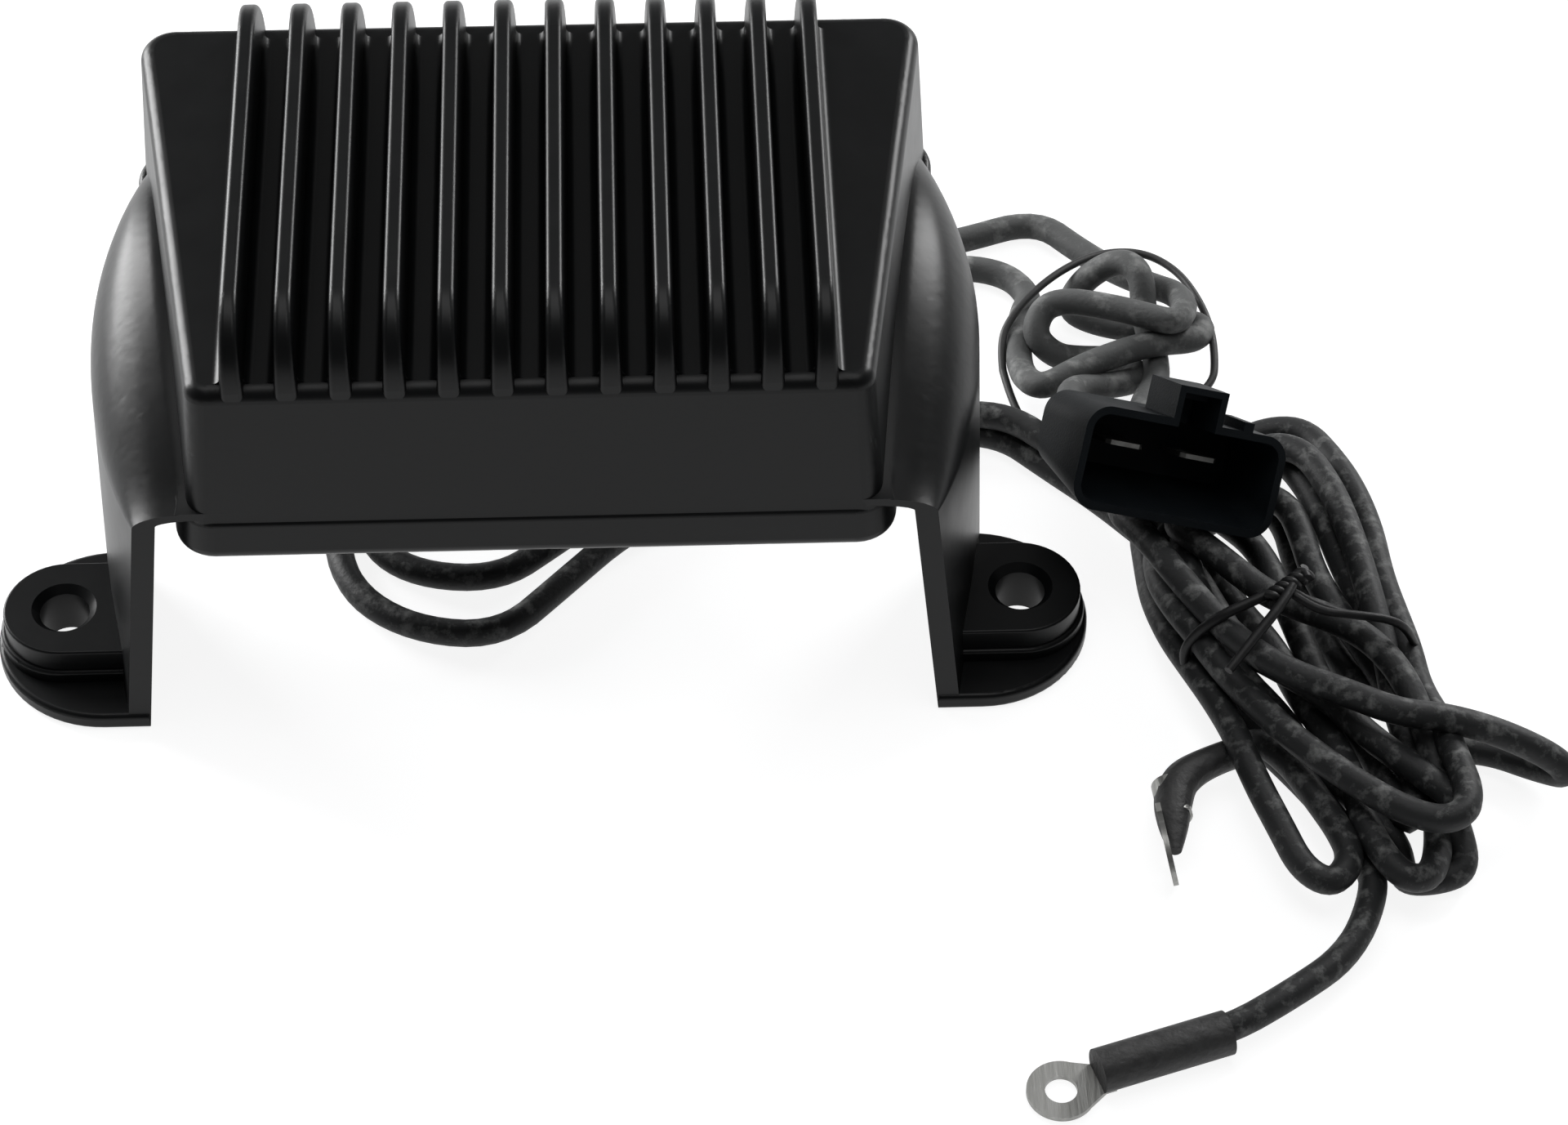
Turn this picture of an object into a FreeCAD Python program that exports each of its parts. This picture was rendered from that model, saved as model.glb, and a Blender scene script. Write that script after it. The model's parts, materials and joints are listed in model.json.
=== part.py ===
"""Voltage regulator rectifier for a motorcycle charging system.

A finned, die-cast aluminium housing stands on two cast legs with drilled feet. Its open underside
holds the power devices and a control board in potting compound. Four rubber-insulated leads leave
the potting: two end in a sealed two-blade connector after a small tied coil, and two run through a
long tied hank to ring terminals.

Frame: millimetres, +Z up. The ground is Z = 0, X = 0 is the middle plane, and the fins run along Y.
The sizes below count Y from the front edge of the legs; the files that are written have their
origin under the middle of the housing.
"""
import FreeCAD, Part
import math
import os

V = FreeCAD.Vector

# Housing: heights of its rim, floor between the fins, and fin crests
RIM_BOTTOM = 46.4
RIM_HEIGHT = 9.8
FLOOR_Z = 87.4
FIN_HEIGHT = 13.2

# Housing plan: half widths at the floor level, at the front and at the back
FLOOR_FRONT_Y = 1.4
FLOOR_BACK_Y = 100.0
FLOOR_FRONT_HALF = 60.6
FLOOR_BACK_HALF = 74.6
WALL_DRAFT_SIDE = 2.1
WALL_DRAFT_END = 1.5
RIM_PROUD = 1.7
RIM_PROUD_END = 0.4
FRONT_CORNER_R = 4.0
BACK_CORNER_R = 6.5
TOP_EDGE_R = 2.7
RIM_EDGE_R = 2.6
RIM_CORNER_GROWTH = 3.5

# Fins
FIN_COUNT = 12
FIN_PITCH = 9.525
FIN_CREST = 3.1
FIN_DRAFT_DEG = 2.3
FIN_EDGE_R = 1.0
FIN_ROOT_R = 1.5
FIN_SINK = 5.0
FIN_BACK_RUN = 17.0

# Cavity on the underside, filled with potting
CAVITY_WALL = 3.4
CAVITY_ROOF = 6.6
POTTING_RECESS = 2.0

# Shoulder and leg, by stations along Y: outer X at heights LOW_Z and HIGH_Z, crown height of
# the shoulder, height of its rounded part, and thickness of the crown
LOW_Z = 5.0
HIGH_Z = 50.0
SHOULDER_STATIONS = [
    (0.0, 78.4, 73.5, 58.4, 3.8, 1.8),
    (10.0, 80.2, 76.8, 61.4, 9.5, 3.0),
    (20.0, 82.0, 79.7, 64.8, 14.0, 4.0),
    (32.0, 84.0, 82.2, 68.0, 17.6, 4.2),
    (44.0, 85.4, 83.6, 70.0, 19.6, 4.2),
    (56.0, 86.2, 83.8, 70.6, 19.8, 4.2),
    (68.0, 86.2, 82.4, 69.6, 18.0, 4.2),
    (78.0, 85.0, 80.0, 66.8, 14.0, 4.0),
    (86.0, 83.2, 77.6, 62.6, 9.5, 3.6),
    (93.0, 81.0, 75.2, 57.0, 5.0, 3.0),
]
LEG_THICKNESS = 4.2
SHOULDER_EMBED = 1.2
# Side outline of leg and shoulder, from the foot's back up to the rim's rear corner
LEG_BACK_Y = 41.5
LEG_BACK_KNEE = (44.5, 26.0)
LEG_BACK_BEND = (51.0, 39.5)
WEB_BACK = (66.0, 47.2)
WEB_END = (93.0, 52.5)

# Feet
FOOT_CENTRE = (83.2, 20.8)
FOOT_R = 21.4
FOOT_THICKNESS = 3.6
FOOT_EDGE_R = 1.0
BOSS_R = FOOT_R - 9.8
BOSS_CENTRE = (FOOT_CENTRE[0] + FOOT_R - BOSS_R - 1.6, FOOT_CENTRE[1])
BOSS_TOP = 11.0
STEP_GROWTH = 0.9
STEP_TOP = 6.3
BOLT_HOLE_D = 9.5
BOLT_CHAMFER = 1.45

# Inside the potting, from the cavity roof down
PAD_THICKNESS = 0.5
BOARD = (70.0, 0.426 * (FLOOR_BACK_Y - FLOOR_FRONT_Y), 1.6)
BOARD_FRONT_Y = FLOOR_BACK_Y - 11.0 - BOARD[1]
BOARD_DROP = 10.4
DEVICE_BODY = (15.6, 20.0, 4.8)
DEVICE_PITCH = 19.0
DEVICE_FRONT_Y = BOARD_FRONT_Y - 26.0
PIN_SIZE = 1.0
PIN_PITCH = 4.0
SPREADER_FRONT_Y = DEVICE_FRONT_Y - 3.0
SPREADER = (76.0, FLOOR_BACK_Y - 22.0 - SPREADER_FRONT_Y, 1.5)
SPACER_R = 2.5
TAB = (9.0, 13.0, 1.2)
CAPACITOR_R = 5.0
CAPACITOR_LENGTH = 12.0
RESISTOR_R = 1.8
RESISTOR_LENGTH = 11.0
TRANSISTOR = (4.8, 3.8, 4.6)

# Leads: diameter, and where each one leaves the potting
LEAD_R = 2.7
TAB_Y = FLOOR_BACK_Y - 20.0
BATTERY_X = -28.0
GROUND_X = -16.0
STATOR_A_X = 15.0
STATOR_B_X = 28.0

# Small coil of the stator leads and the long hank of the battery leads
COIL_CENTRE = (113.9, 92.4)
COIL_R = 21.6
COIL_HOLE_R = 5.0
COIL_HEIGHT = 17.0
COIL_EDGE_R = 5.0
BAND_R = 0.75
BAND_Z = 8.0
HANK_OUTLINE = [(135.5, -51.0, 8.0), (171.0, -53.0, 10.0), (164.0, -2.0, 60.0), (163.5, 38.0, 14.0),
                (149.0, 64.0, 8.0), (132.0, 52.0, 10.0), (115.5, 30.0, 10.0), (115.8, 9.0, 14.0)]
HANK_HEIGHT = 16.0
HANK_EDGE_R = 4.5
LOOP_START = (158.0, -3.5)
LOOP_TIP = (192.5, -25.0)
LOOP_WIDTH = 9.0
LOOP_HEIGHT = 11.0
TIE_Y = (7.4, 10.0)
TIE_THICKNESS = 1.2
TWIST = (1.5, 0.9, 8.0)
FAR = 300.0

# Connector: mouth centre and attitude, then its own sizes (x across, y back, z up)
MOUTH_CENTRE = (121.8, 30.8, 31.0)
CONNECTOR_YAW = 20.4
CONNECTOR_TILT = -34.5
CONNECTOR_ROLL = 25.8
SHELL = (42.3, 20.0)
SHELL_CORNER_R = 4.8
SHELL_LENGTH = 21.5
SHELL_RISE = 5.0
SHELL_WALL = 1.5
SOCKET_DEPTH = 20.0
SOCKET_END_STEP = (1.6, 5.6)
CORE = (32.0, 13.0)
CORE_CORNER_R = 3.5
CORE_LENGTH = 10.0
CHANNEL = (10.3, 6.5)
CHANNEL_WALL = 1.3
CHANNEL_LENGTH = 14.0
CHANNEL_X = 1.3
LOCK = (5.6, 1.4, 8.5)
GUIDE_RIB = (2.0, 1.8, 11.0)
GUIDE_RIB_X = 12.0
RETAINER = (29.0, 10.6, 3.0)
RETAINER_CORNER_R = 3.0
BLADE_WIDTH = 7.8
BLADE_THICKNESS = 0.9
BLADE_TIP = 10.0
BLADE_X = (-8.0, 8.0)
BLADE_Z = 2.5
SEAL_R = 4.1
SEAL_LENGTH = 4.0

# Ring terminals; the battery lead's one stands on edge, so its frame is given by two vectors
RING_HOLE_R = 2.9
RING_R = 6.2
RING_THICKNESS = 1.0
RING_REACH = 7.5
BARREL_R = 3.2
BARREL_LENGTH = 8.0
SHRINK_R = 4.1
SHRINK_LENGTH = 25.0
SHRINK_START = -0.6
BATTERY_RING = (113.96, -41.6, 6.1)
BATTERY_RING_AXIS = (-0.086, 0.996, 0.0)
BATTERY_RING_NORMAL = (0.9745, 0.0841, 0.2078)
BATTERY_SHRINK_R = 3.6
GROUND_RING = (91.0, -90.9, 0.9)
GROUND_RING_TURN = 18.0

# Routes of the leads, as the corners of their runs. Each starts below its exit.
BATTERY_ROUTE = [(-31.5, 68.0, 9.5), (-41.5, 50.0, LEAD_R), (-38.5, 31.5, LEAD_R),
                 (-26.0, 20.6, LEAD_R), (-8.5, 18.2, LEAD_R), (3.5, 31.5, LEAD_R),
                 (16.5, 46.0, LEAD_R), (36.0, 57.5, LEAD_R), (58.0, 63.5, LEAD_R),
                 (78.0, 67.0, LEAD_R), (91.0, 66.0, LEAD_R), (98.5, 56.0, LEAD_R),
                 (107.5, 46.5, LEAD_R), (125.0, 37.5, LEAD_R)]
GROUND_ROUTE = [(-19.5, 68.0, 9.5), (-33.0, 57.0, LEAD_R), (-35.0, 44.0, LEAD_R),
                (-25.5, 34.8, LEAD_R), (-9.0, 33.0, LEAD_R), (2.0, 42.5, LEAD_R),
                (17.0, 56.0, LEAD_R), (38.0, 68.0, LEAD_R), (60.0, 72.5, LEAD_R),
                (80.0, 73.5, LEAD_R), (92.5, 72.3, LEAD_R), (102.0, 62.5, LEAD_R),
                (112.0, 51.5, LEAD_R), (129.0, 43.5, LEAD_R)]
STATOR_A_ROUTE = [(17.5, 92.0, 10.0), (28.0, 108.0, LEAD_R), (47.0, 118.0, LEAD_R),
                  (68.0, 121.0, LEAD_R), (86.0, 125.0, LEAD_R), (103.0, 131.5, LEAD_R),
                  (114.5, 113.0, 4.0)]
STATOR_B_ROUTE = [(32.0, 91.0, 10.0), (45.0, 103.0, LEAD_R), (65.0, 110.5, LEAD_R),
                  (84.0, 118.0, LEAD_R), (95.5, 114.5, LEAD_R), (103.5, 103.0, 3.6)]
TAIL_ENDS = ((104.0, 82.0, 12.0), (118.0, 76.0, 13.6))
BATTERY_STRAIGHT = 10.4
BATTERY_END = [(129.5, -14.0, 8.0)]
GROUND_STRAIGHT = 21.0
GROUND_END = [(134.5, -76.5, 4.6), (146.5, -66.8, 4.6), (152.6, -50.0, 5.4)]


def vector(point, z=0.0):
    """A Vector from a pair or a triple."""
    return V(point[0], point[1], point[2] if len(point) > 2 else z)


def rounded_wire(corners):
    """A closed wire through (point, radius) corners, with a tangent arc at each radius."""
    stretches = []
    for index, (point, radius) in enumerate(corners):
        before = (corners[index - 1][0] - point).normalize()
        after = (corners[(index + 1) % len(corners)][0] - point).normalize()
        if radius <= 0:
            stretches.append((point, None, point))
            continue
        half = before.getAngle(after) / 2
        reach = radius / math.tan(half)
        inward = (before + after).normalize()
        middle = point + inward * (radius / math.sin(half) - radius)
        stretches.append((point + before * reach, middle, point + after * reach))
    edges = []
    for index, (start, middle, end) in enumerate(stretches):
        if middle is not None:
            edges.append(Part.Arc(start, middle, end).toShape())
        following = stretches[(index + 1) % len(stretches)][0]
        if end.distanceToPoint(following) > 1e-6:
            edges.append(Part.LineSegment(end, following).toShape())
    return Part.Wire(edges)


def rounded_rectangle(width, height, radius, plane="XY", level=0.0):
    """A centred rectangle wire with round corners, in the XY or the XZ plane."""
    corners = []
    for sx, sy in ((-1, -1), (1, -1), (1, 1), (-1, 1)):
        a, b = sx * width / 2, sy * height / 2
        corners.append((V(a, b, level) if plane == "XY" else V(a, level, b), radius))
    return rounded_wire(corners)


def prism(wire, direction):
    """The solid that a closed flat wire sweeps along a direction."""
    return Part.Face(wire).extrude(direction)


def box(x0, x1, y0, y1, z0, z1):
    """A block between six planes."""
    return Part.makeBox(x1 - x0, y1 - y0, z1 - z0, V(x0, y0, z0))


def housing_plan(z, grow=0.0, end_grow=0.0, radius_change=0.0):
    """The housing's rounded trapezoid at a height, grown outwards at its sides and its ends."""
    fall = (FLOOR_Z - z) / (FLOOR_Z - RIM_BOTTOM - RIM_HEIGHT)
    front_y = FLOOR_FRONT_Y - WALL_DRAFT_END * fall - end_grow
    back_y = FLOOR_BACK_Y + WALL_DRAFT_END * fall + end_grow
    front = FLOOR_FRONT_HALF + WALL_DRAFT_SIDE * fall + grow
    back = FLOOR_BACK_HALF + WALL_DRAFT_SIDE * fall + grow
    front_r = FRONT_CORNER_R + radius_change
    back_r = BACK_CORNER_R + radius_change
    return rounded_wire([
        (V(-front, front_y, z), front_r),
        (V(front, front_y, z), front_r),
        (V(back, back_y, z), back_r),
        (V(-back, back_y, z), back_r),
    ])


def edges_at(shape, z, tolerance=0.01):
    """The edges of a shape that lie flat at a height."""
    found = []
    for edge in shape.Edges:
        bounds = edge.BoundBox
        if abs(bounds.ZMin - z) < tolerance and abs(bounds.ZMax - z) < tolerance:
            found.append(edge)
    return found


def make_block():
    """The drafted box with its rim, before fins, legs and cavity."""
    rim_top = RIM_BOTTOM + RIM_HEIGHT
    block = Part.makeLoft([housing_plan(rim_top - 1.0), housing_plan(FLOOR_Z)], True, True)
    block = block.makeFillet(TOP_EDGE_R, edges_at(block, FLOOR_Z))
    growth = (RIM_PROUD, RIM_PROUD_END, RIM_CORNER_GROWTH)
    rim = Part.makeLoft([housing_plan(RIM_BOTTOM, *growth), housing_plan(rim_top, *growth)],
                        True, True)
    rim = rim.makeFillet(RIM_EDGE_R, edges_at(rim, RIM_BOTTOM))
    rim = rim.makeFillet(RIM_PROUD * 0.7, edges_at(rim, rim_top))
    return block.fuse(rim)


def make_fin():
    """One fin about X = 0, its crest edges rounded and its two ends quarter circles."""
    low = FLOOR_Z - FIN_SINK
    crest_z = FLOOR_Z + FIN_HEIGHT
    slope = math.tan(math.radians(FIN_DRAFT_DEG))
    half_crest = FIN_CREST / 2
    half_low = half_crest + (FIN_HEIGHT + FIN_SINK) * slope
    section = Part.makePolygon([V(-half_low, 0, low), V(half_low, 0, low),
                                V(half_crest, 0, crest_z), V(-half_crest, 0, crest_z),
                                V(-half_low, 0, low)])
    bar = prism(section, V(0, FLOOR_BACK_Y - FLOOR_FRONT_Y + 20, 0))
    bar.translate(V(0, FLOOR_FRONT_Y - 10, 0))
    r = FIN_HEIGHT
    diagonal = r * (1 - math.sqrt(0.5))
    y0, y1, run = FLOOR_FRONT_Y, FLOOR_BACK_Y, FIN_BACK_RUN
    side = Part.Wire([
        Part.LineSegment(V(0, y0, low), V(0, y0, FLOOR_Z)).toShape(),
        Part.Arc(V(0, y0, FLOOR_Z), V(0, y0 + diagonal, crest_z - diagonal),
                 V(0, y0 + r, crest_z)).toShape(),
        Part.LineSegment(V(0, y0 + r, crest_z), V(0, y1 - run, crest_z)).toShape(),
        Part.ArcOfEllipse(Part.Ellipse(V(0, y1, FLOOR_Z), V(0, y1 - run, crest_z),
                                       V(0, y1 - run, FLOOR_Z)), 0, math.pi / 2).toShape(),
        Part.LineSegment(V(0, y1, FLOOR_Z), V(0, y1, low)).toShape(),
        Part.LineSegment(V(0, y1, low), V(0, y0, low)).toShape(),
    ])
    outline = prism(side, V(4 * FIN_CREST, 0, 0))
    outline.translate(V(-2 * FIN_CREST, 0, 0))
    fin = bar.common(outline)
    edges = [e for e in fin.Edges if e.CenterOfMass.z > low + 1 and abs(e.CenterOfMass.x) > 0.1]
    return fin.makeFillet(FIN_EDGE_R, edges)


def make_fin_root(side):
    """The hollow fillet along one foot of a fin, between its flank and the floor."""
    spread = FIN_HEIGHT * math.tan(math.radians(FIN_DRAFT_DEG))
    base = FIN_CREST / 2 + spread
    r = FIN_ROOT_R
    y0 = FLOOR_FRONT_Y + TOP_EDGE_R
    slope = math.tan(math.radians(FIN_DRAFT_DEG))
    inner = V(side * (base - r - slope * r), y0, FLOOR_Z - r / 2)
    foot = V(side * (base + r), y0, FLOOR_Z - r / 2)
    foot_top = V(side * (base + r), y0, FLOOR_Z)
    top = V(side * (base - slope * r), y0, FLOOR_Z + r)
    inner_top = V(side * (base - r - slope * r), y0, FLOOR_Z + r)
    middle = V(side * (base + r * (1 - math.sqrt(0.5)) - slope * r * 0.3), y0,
               FLOOR_Z + r * (1 - math.sqrt(0.5)))
    wire = Part.Wire([
        Part.LineSegment(inner, foot).toShape(),
        Part.LineSegment(foot, foot_top).toShape(),
        Part.Arc(foot_top, middle, top).toShape(),
        Part.LineSegment(top, inner_top).toShape(),
        Part.LineSegment(inner_top, inner).toShape(),
    ])
    return prism(wire, V(0, FLOOR_BACK_Y - TOP_EDGE_R - 1.5 - y0, 0))


def shoulder_section(station, inset=0.0):
    """One section across the shoulder and leg: a leaning line up the leg into an elliptic crown.

    With an inset it is the hollow's section, the leg's thickness further in.
    """
    y, low_x, high_x, crown_z, round_height, crown_thickness = station
    lean = (low_x - high_x) / (HIGH_Z - LOW_Z)
    angle = math.atan(lean)
    drop = crown_thickness if inset else 0.0
    top_z = crown_z - drop
    b = round_height - (inset * 0.6 if inset else 0.0)
    b = max(b, 1.5)
    fall = (FLOOR_Z - crown_z) / (FLOOR_Z - RIM_BOTTOM - RIM_HEIGHT)
    share = (y - FLOOR_FRONT_Y) / (FLOOR_BACK_Y - FLOOR_FRONT_Y)
    wall_x = (FLOOR_FRONT_HALF + share * (FLOOR_BACK_HALF - FLOOR_FRONT_HALF)
              + WALL_DRAFT_SIDE * fall)
    centre_x = wall_x - SHOULDER_EMBED
    centre_z = top_z - b
    across = ((high_x - centre_x) + (HIGH_Z - centre_z) * lean) * math.cos(angle) - inset
    a = math.sqrt(max(across ** 2 - (b * math.sin(angle)) ** 2, 0.25)) / math.cos(angle)
    start = math.atan2(b * lean, a)
    shoulder = V(centre_x + a * math.cos(start), y, centre_z + b * math.sin(start))
    top = V(centre_x, y, top_z)
    steps = [shoulder]
    for index in range(1, 6):
        theta = start + (math.pi / 2 - start) * index / 6
        steps.append(V(centre_x + a * math.cos(theta), y, centre_z + b * math.sin(theta)))
    steps.append(top)
    curve = Part.BSplineCurve()
    curve.interpolate(Points=steps, InitialTangent=V(-lean, 0, 1), FinalTangent=V(-1, 0, 0))
    floor = 0.0
    toe = V(shoulder.x + (shoulder.z - floor) * lean, y, floor)
    inner_x = 50.0
    return Part.Wire([
        Part.LineSegment(V(inner_x, y, floor), toe).toShape(),
        Part.LineSegment(toe, shoulder).toShape(),
        curve.toShape(),
        Part.LineSegment(top, V(inner_x, y, top_z)).toShape(),
        Part.LineSegment(V(inner_x, y, top_z), V(inner_x, y, floor)).toShape(),
    ])


def make_shoulder():
    """The right shoulder with its leg: a curved plate lofted through the stations, trimmed at
    the front by the plane Y = 0 and behind by the side outline."""
    outer = Part.makeLoft([shoulder_section(s) for s in SHOULDER_STATIONS], True, False)
    inner = Part.makeLoft([shoulder_section(s, LEG_THICKNESS) for s in SHOULDER_STATIONS],
                          True, False)
    plate = outer.cut(inner)
    top = FLOOR_Z + 5
    side = Part.Wire([
        Part.LineSegment(V(0, 0, 0), V(0, LEG_BACK_Y, 0)).toShape(),
        Part.LineSegment(V(0, LEG_BACK_Y, 0), vector_yz(LEG_BACK_KNEE)).toShape(),
        Part.Arc(vector_yz(LEG_BACK_KNEE), vector_yz(LEG_BACK_BEND),
                 vector_yz(WEB_BACK)).toShape(),
        Part.LineSegment(vector_yz(WEB_BACK), vector_yz(WEB_END)).toShape(),
        Part.LineSegment(vector_yz(WEB_END), V(0, WEB_END[0], top)).toShape(),
        Part.LineSegment(V(0, WEB_END[0], top), V(0, 0, top)).toShape(),
        Part.LineSegment(V(0, 0, top), V(0, 0, 0)).toShape(),
    ])
    trim = prism(side, V(120, 0, 0))
    return plate.common(trim)


def vector_yz(point):
    """A Vector in the plane X = 0."""
    return V(0, point[0], point[1])


def foot_outline(centre, radius, inner_front_x, inner_back_x, z):
    """A closed wire: a half circle outwards and straight sides back to the leg."""
    x, y = centre
    return Part.Wire([
        Part.LineSegment(V(inner_front_x, y - radius, z), V(x, y - radius, z)).toShape(),
        Part.Arc(V(x, y - radius, z), V(x + radius, y, z), V(x, y + radius, z)).toShape(),
        Part.LineSegment(V(x, y + radius, z), V(inner_back_x, y + radius, z)).toShape(),
        Part.LineSegment(V(inner_back_x, y + radius, z),
                         V(inner_front_x, y - radius, z)).toShape(),
    ])


def leg_x(y, z):
    """The leg's outer face, by straight lines between the stations."""
    stations = SHOULDER_STATIONS
    for first, second in zip(stations, stations[1:]):
        if y <= second[0] or second is stations[-1]:
            share = (y - first[0]) / (second[0] - first[0])
            low = first[1] + share * (second[1] - first[1])
            high = first[2] + share * (second[2] - first[2])
            return low + (high - low) * (z - LOW_Z) / (HIGH_Z - LOW_Z)


def make_foot():
    """The right foot: a half-round plate, a stepped boss and a chamfered bolt hole."""
    y_front = FOOT_CENTRE[1] - FOOT_R
    y_back = FOOT_CENTRE[1] + FOOT_R
    inner_front = leg_x(0, 0) - LEG_THICKNESS
    inner_back = leg_x(y_back, 0) - LEG_THICKNESS
    plate = prism(foot_outline(FOOT_CENTRE, FOOT_R, inner_front, inner_back, 0),
                  V(0, 0, FOOT_THICKNESS))
    rounded = [e for e in edges_at(plate, FOOT_THICKNESS) + edges_at(plate, 0)
               if e.BoundBox.XMax > FOOT_CENTRE[0] + 1 or e.BoundBox.YMax < y_front + 0.01]
    plate = plate.makeFillet(FOOT_EDGE_R, rounded)
    step_r = BOSS_R + STEP_GROWTH
    root_front = leg_x(BOSS_CENTRE[1] - step_r, STEP_TOP) - 1.5
    root_back = leg_x(BOSS_CENTRE[1] + step_r, STEP_TOP) - 1.5
    step = prism(foot_outline(BOSS_CENTRE, step_r, root_front, root_back, 0),
                 V(0, 0, STEP_TOP))
    step = step.makeFillet(STEP_GROWTH * 0.8, [e for e in edges_at(step, STEP_TOP)
                                              if e.BoundBox.XMax > BOSS_CENTRE[0]])
    boss = prism(foot_outline(BOSS_CENTRE, BOSS_R, root_front, root_back, 0),
                 V(0, 0, BOSS_TOP))
    boss = boss.makeFillet(0.5, [e for e in edges_at(boss, BOSS_TOP)
                                if e.BoundBox.XMax > BOSS_CENTRE[0] - 1])
    return plate.fuse([step, boss])


def foot_hole():
    """The right foot's bolt hole with its chamfer, as the solid to cut away."""
    x, y = BOSS_CENTRE
    r = BOLT_HOLE_D / 2
    hole = Part.makeCylinder(r, BOSS_TOP + 2, V(x, y, -1))
    sink = Part.makeCone(r, r + BOLT_CHAMFER + 0.5, BOLT_CHAMFER + 0.5,
                         V(x, y, BOSS_TOP - BOLT_CHAMFER))
    return hole.fuse(sink)


def make_cavity():
    """The hollow of the underside, from the rim's bottom up to the roof plate."""
    top = FLOOR_Z - CAVITY_ROOF
    inset = (-CAVITY_WALL, -CAVITY_WALL, -1.5)
    return Part.makeLoft([housing_plan(RIM_BOTTOM, *inset), housing_plan(top, *inset)], True, True)


def mirrored(shape):
    """The same shape on the left side."""
    return shape.mirror(V(0, 0, 0), V(1, 0, 0))


def make_housing():
    """The whole casting as one solid."""
    first = -(FIN_COUNT - 1) / 2 * FIN_PITCH
    fin = make_fin()
    roots = [make_fin_root(-1), make_fin_root(1)]
    parts = []
    for index in range(FIN_COUNT):
        for shape in [fin] + roots:
            copy = shape.copy()
            copy.translate(V(first + index * FIN_PITCH, 0, 0))
            parts.append(copy)
    solid = make_block().fuse(parts)
    shoulder = make_shoulder()
    foot = make_foot()
    solid = solid.fuse([shoulder, mirrored(shoulder), foot, mirrored(foot)])
    hole = foot_hole()
    solid = solid.cut([hole, mirrored(hole), make_cavity()])
    return solid.removeSplitter()


def stack():
    """Heights of what hangs from the cavity roof."""
    roof = FLOOR_Z - CAVITY_ROOF
    pad = roof - PAD_THICKNESS
    spreader = pad - SPREADER[2]
    device = spreader - DEVICE_BODY[2]
    board_top = spreader - BOARD_DROP
    board = board_top - BOARD[2]
    tab = board - TAB[2]
    return dict(roof=roof, pad=pad, spreader=spreader, device=device,
                board_top=board_top, board=board, tab=tab)


def make_device(index):
    """A power device under the spreader, with three pins bent down to the board."""
    z = stack()
    x = (index - 1.5) * DEVICE_PITCH
    width, depth, height = DEVICE_BODY
    body = box(x - width / 2, x + width / 2, DEVICE_FRONT_Y, DEVICE_FRONT_Y + depth,
               z["device"], z["spreader"])
    body = body.makeChamfer(0.8, edges_at(body, z["device"]))
    back = DEVICE_FRONT_Y + depth
    pin_z = z["spreader"] - height / 2
    pin_y = BOARD_FRONT_Y + 3.0
    pins = []
    for step in (-1, 0, 1):
        px = x + step * PIN_PITCH
        half = PIN_SIZE / 2
        pins.append(box(px - half, px + half, back - 1, pin_y + half, pin_z - half, pin_z + half))
        pins.append(box(px - half, px + half, pin_y - half, pin_y + half,
                        z["board_top"], pin_z + half))
    return body.fuse(pins).removeSplitter()


def make_inside():
    """Everything that the potting surrounds, by node name."""
    z = stack()
    width, depth, _ = SPREADER
    y0 = SPREADER_FRONT_Y
    pieces = {
        "insulator_pad": box(-width / 2 - 2, width / 2 + 2, y0 - 2, y0 + depth + 2,
                             z["pad"], z["roof"]),
        "heat_spreader": box(-width / 2, width / 2, y0, y0 + depth, z["spreader"], z["pad"]),
    }
    for index, name in enumerate(("thyristor_a", "thyristor_b", "diode_a", "diode_b")):
        pieces[name] = make_device(index)
    bw, bd, _ = BOARD
    by = BOARD_FRONT_Y
    pieces["circuit_board"] = box(-bw / 2, bw / 2, by, by + bd, z["board"], z["board_top"])
    spacers = []
    for sx in (-1, 1):
        for sy in (by + 9.0, y0 + depth - SPACER_R - 1):
            spacers.append(Part.makeCylinder(SPACER_R, z["spreader"] - z["board_top"],
                                             V(sx * (bw / 2 - 5), sy, z["board_top"])))
    pieces["board_spacers"] = Part.makeCompound(spacers)
    for name, x in (("battery_tab", BATTERY_X), ("ground_tab", GROUND_X),
                    ("stator_tab_a", STATOR_A_X), ("stator_tab_b", STATOR_B_X)):
        pieces[name] = box(x - TAB[0] / 2, x + TAB[0] / 2, TAB_Y - TAB[1] / 2,
                           TAB_Y + TAB[1] / 2, z["tab"], z["board"])
    pieces["filter_capacitor"] = Part.makeCylinder(
        CAPACITOR_R, CAPACITOR_LENGTH, V(-24, by + 12, z["board"] - CAPACITOR_LENGTH))
    pieces["control_transistor"] = box(-TRANSISTOR[0] / 2, TRANSISTOR[0] / 2, by + 10,
                                       by + 10 + TRANSISTOR[1], z["board"] - TRANSISTOR[2],
                                       z["board"])
    for name, x in (("gate_resistor_a", 10.0), ("gate_resistor_b", 22.0)):
        pieces[name] = Part.makeCylinder(RESISTOR_R, RESISTOR_LENGTH,
                                         V(x, by + 6, z["board"] - RESISTOR_R), V(0, 1, 0))
    return pieces


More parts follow.
